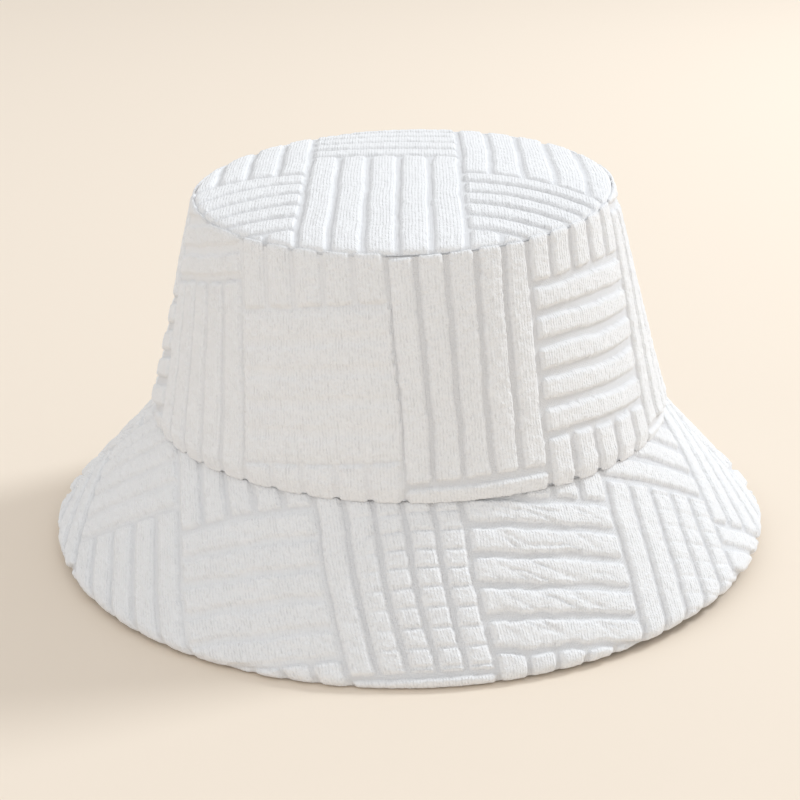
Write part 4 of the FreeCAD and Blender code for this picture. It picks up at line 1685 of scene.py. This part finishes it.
def ring_sector(outer: float, inner: float, turn: float) -> dict[str, object]:
    """The flat size and area of a cut in the shape of part of a ring.

    Args:
        outer: its outer radius.
        inner: its inner radius.
        turn: half of its angle.
    """
    width = 2 * outer * math.sin(min(turn, math.pi / 2))
    return {"flat": (width, outer - inner * math.cos(turn)), "area": turn * (outer ** 2 - inner ** 2)}


def sheet_of(cut: dict[str, object], held: str, *under: str) -> dict[str, object]:
    """A sheet's facts: its cut, how it is held and the pieces that it rests on."""
    return {**cut, "held": held, "rests_on": list(under)}


def disc_cut(across: float) -> dict[str, object]:
    """The flat size and area of a round cut."""
    return {"flat": (across, across), "area": math.pi * across ** 2 / 4}


@dataclass
class Hat:
    """The whole hat, built from the inside out."""

    form: HatForm
    groups: Groups

    TIP_ALLOWANCE = 3 * MM
    UNDER_LENGTH = 60 * MM
    FELT_LENGTH = 58 * MM
    BAND_SIZE = (573 * MM, 32 * MM)
    LABEL_SIZE = (25 * MM, 45 * MM)

    def side_cut(self, radius: float, length: float) -> dict[str, object]:
        """The cut of a half of a wall that narrows upward."""
        spread = math.sin(self.form.wall_angle)
        slant = radius / spread
        return ring_sector(slant, slant - length, math.pi / 2 * spread)

    def brim_cut(self, length: float) -> dict[str, object]:
        """The cut of a half of a brim cloth."""
        spread = math.cos(self.form.brim_slope)
        slant = self.form.seam_radius / spread
        return ring_sector(slant + length, slant, math.pi / 2 * spread)

    def build(self) -> None:
        """Builds, dresses and places every piece."""
        self.build_shell()
        self.build_inside()
        self.build_threads()

    def build_shell(self) -> None:
        """The tip, the crown side, and the brim's two cloths and interlining."""
        form, terry, felt = self.form, TERRY.build(self.groups), INTERLINING.build(self.groups)
        tip = disc_cut(2 * (form.top_radius + self.TIP_ALLOWANCE))
        Placing(CrownTip(form, TIP_WEAVE).build(), terry, "terry_white", ("crown_tip",), sheet=sheet_of(
            tip, "stretched", "terry_crown_side_front", "terry_crown_side_back")).settle_in()
        for half in Half:
            side = CrownSide(form, SIDE_WEAVES[half], half=half)
            upper = BrimUpper(form, BRIM_WEAVES[half], half=half)
            under = BrimUnder(form, UNDER_WEAVES[half], half=half)
            wall = self.side_cut(form.wall_at(form.seam_height), side.contour().length)
            terries = ((side, "crown_side", wall, "terry_brim_upper"),
                       (upper, "brim_upper", self.brim_cut(upper.contour().length), "felt_brim_interlining"),
                       (under, "brim_under", self.brim_cut(self.UNDER_LENGTH), "felt_brim_interlining"))
            for panel, node, flat, below in terries:
                Placing(panel.build(), terry, "terry_white", (f"{node}_{half.value}",),
                        sheet=sheet_of(flat, "stretched", f"{below}_{half.value}")).settle_in()
            Placing(BrimInterlining(form, half).build(), felt, "brim_interlining",
                    (f"brim_interlining_{half.value}",),
                    sheet=sheet_of(self.brim_cut(self.FELT_LENGTH), "stretched",
                                   f"terry_brim_under_{half.value}")).settle_in()

    def build_inside(self) -> None:
        """The lining, the sweatband and the care label."""
        cotton, twill, satin = (finish.build(self.groups) for finish in (LINING, TWILL, SATIN))
        linings = ("cotton_lining_side_front", "cotton_lining_side_back")
        for half in Half:
            low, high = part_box(f"lining_side_{half.value}")
            wall = self.side_cut(high.x, (high.z - low.z) / math.cos(self.form.wall_angle))
            Placing(SideLining(self.form, half).build(), cotton, "lining_cotton",
                    (f"lining_side_{half.value}",),
                    sheet=sheet_of(wall, "hung", "cotton_lining_tip")).settle_in()
        _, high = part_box("lining_tip")
        Placing(TipLining(self.form).build(), cotton, "lining_cotton", ("lining_tip",),
                sheet=sheet_of(disc_cut(2 * high.x), "hung", *linings)).settle_in()
        Placing(Sweatband(self.form).build(), twill, "sweatband_twill", ("sweatband",),
                sheet=sheet_of({"flat": self.BAND_SIZE}, "stretched", *linings)).settle_in()
        Placing(CareLabel().build(), satin, "label_satin", ("care_label",), LABEL,
                sheet_of({"flat": self.LABEL_SIZE}, "hung", "thread_care_label")).settle_in()

    def build_threads(self) -> None:
        """Every seam's thread."""
        thread, sewing = THREAD.build(self.groups), Stitching(self.form)
        rings = (("tip_seam_thread", "thread_tip_seam", 0.5, -1.0),
                 ("crown_brim_seam_thread", "thread_crown_brim_seam", 1.0, 0.3),
                 ("brim_edge_seam_thread", "thread_brim_edge_seam", 1.0, -0.5),
                 ("lining_tip_seam_thread", "thread_lining_tip_seam", -0.3, -1.0))
        wall, brim = self.form.wall_angle, math.pi / 2 - self.form.brim_slope
        pairs = (("crown_side_seam_threads", "thread_crown_side_seams", wall),
                 ("brim_side_seam_threads", "thread_brim_side_seams", brim),
                 ("lining_side_seam_threads", "thread_lining_side_seams", wall))
        rows = [(sewing.ring(*facts), facts[0]) for facts in rings]
        rows += [(sewing.pair(*facts), facts[0]) for facts in pairs]
        rows += [(sewing.topstitch(), "sweatband_topstitch"), (sewing.label_row(), "care_label_stitches")]
        for piece, node in rows:
            Placing(piece, thread, "thread_white", (node,)).settle_in()


def main() -> None:
    """Builds the hat, then the room that it stands in."""
    logging.basicConfig(level=logging.INFO, format="%(name)s: %(message)s")
    Viewpoint().build()
    Hat(HatForm.from_frame(), Groups()).build()
    Studio().build()


if __name__ == "__main__":
    main()
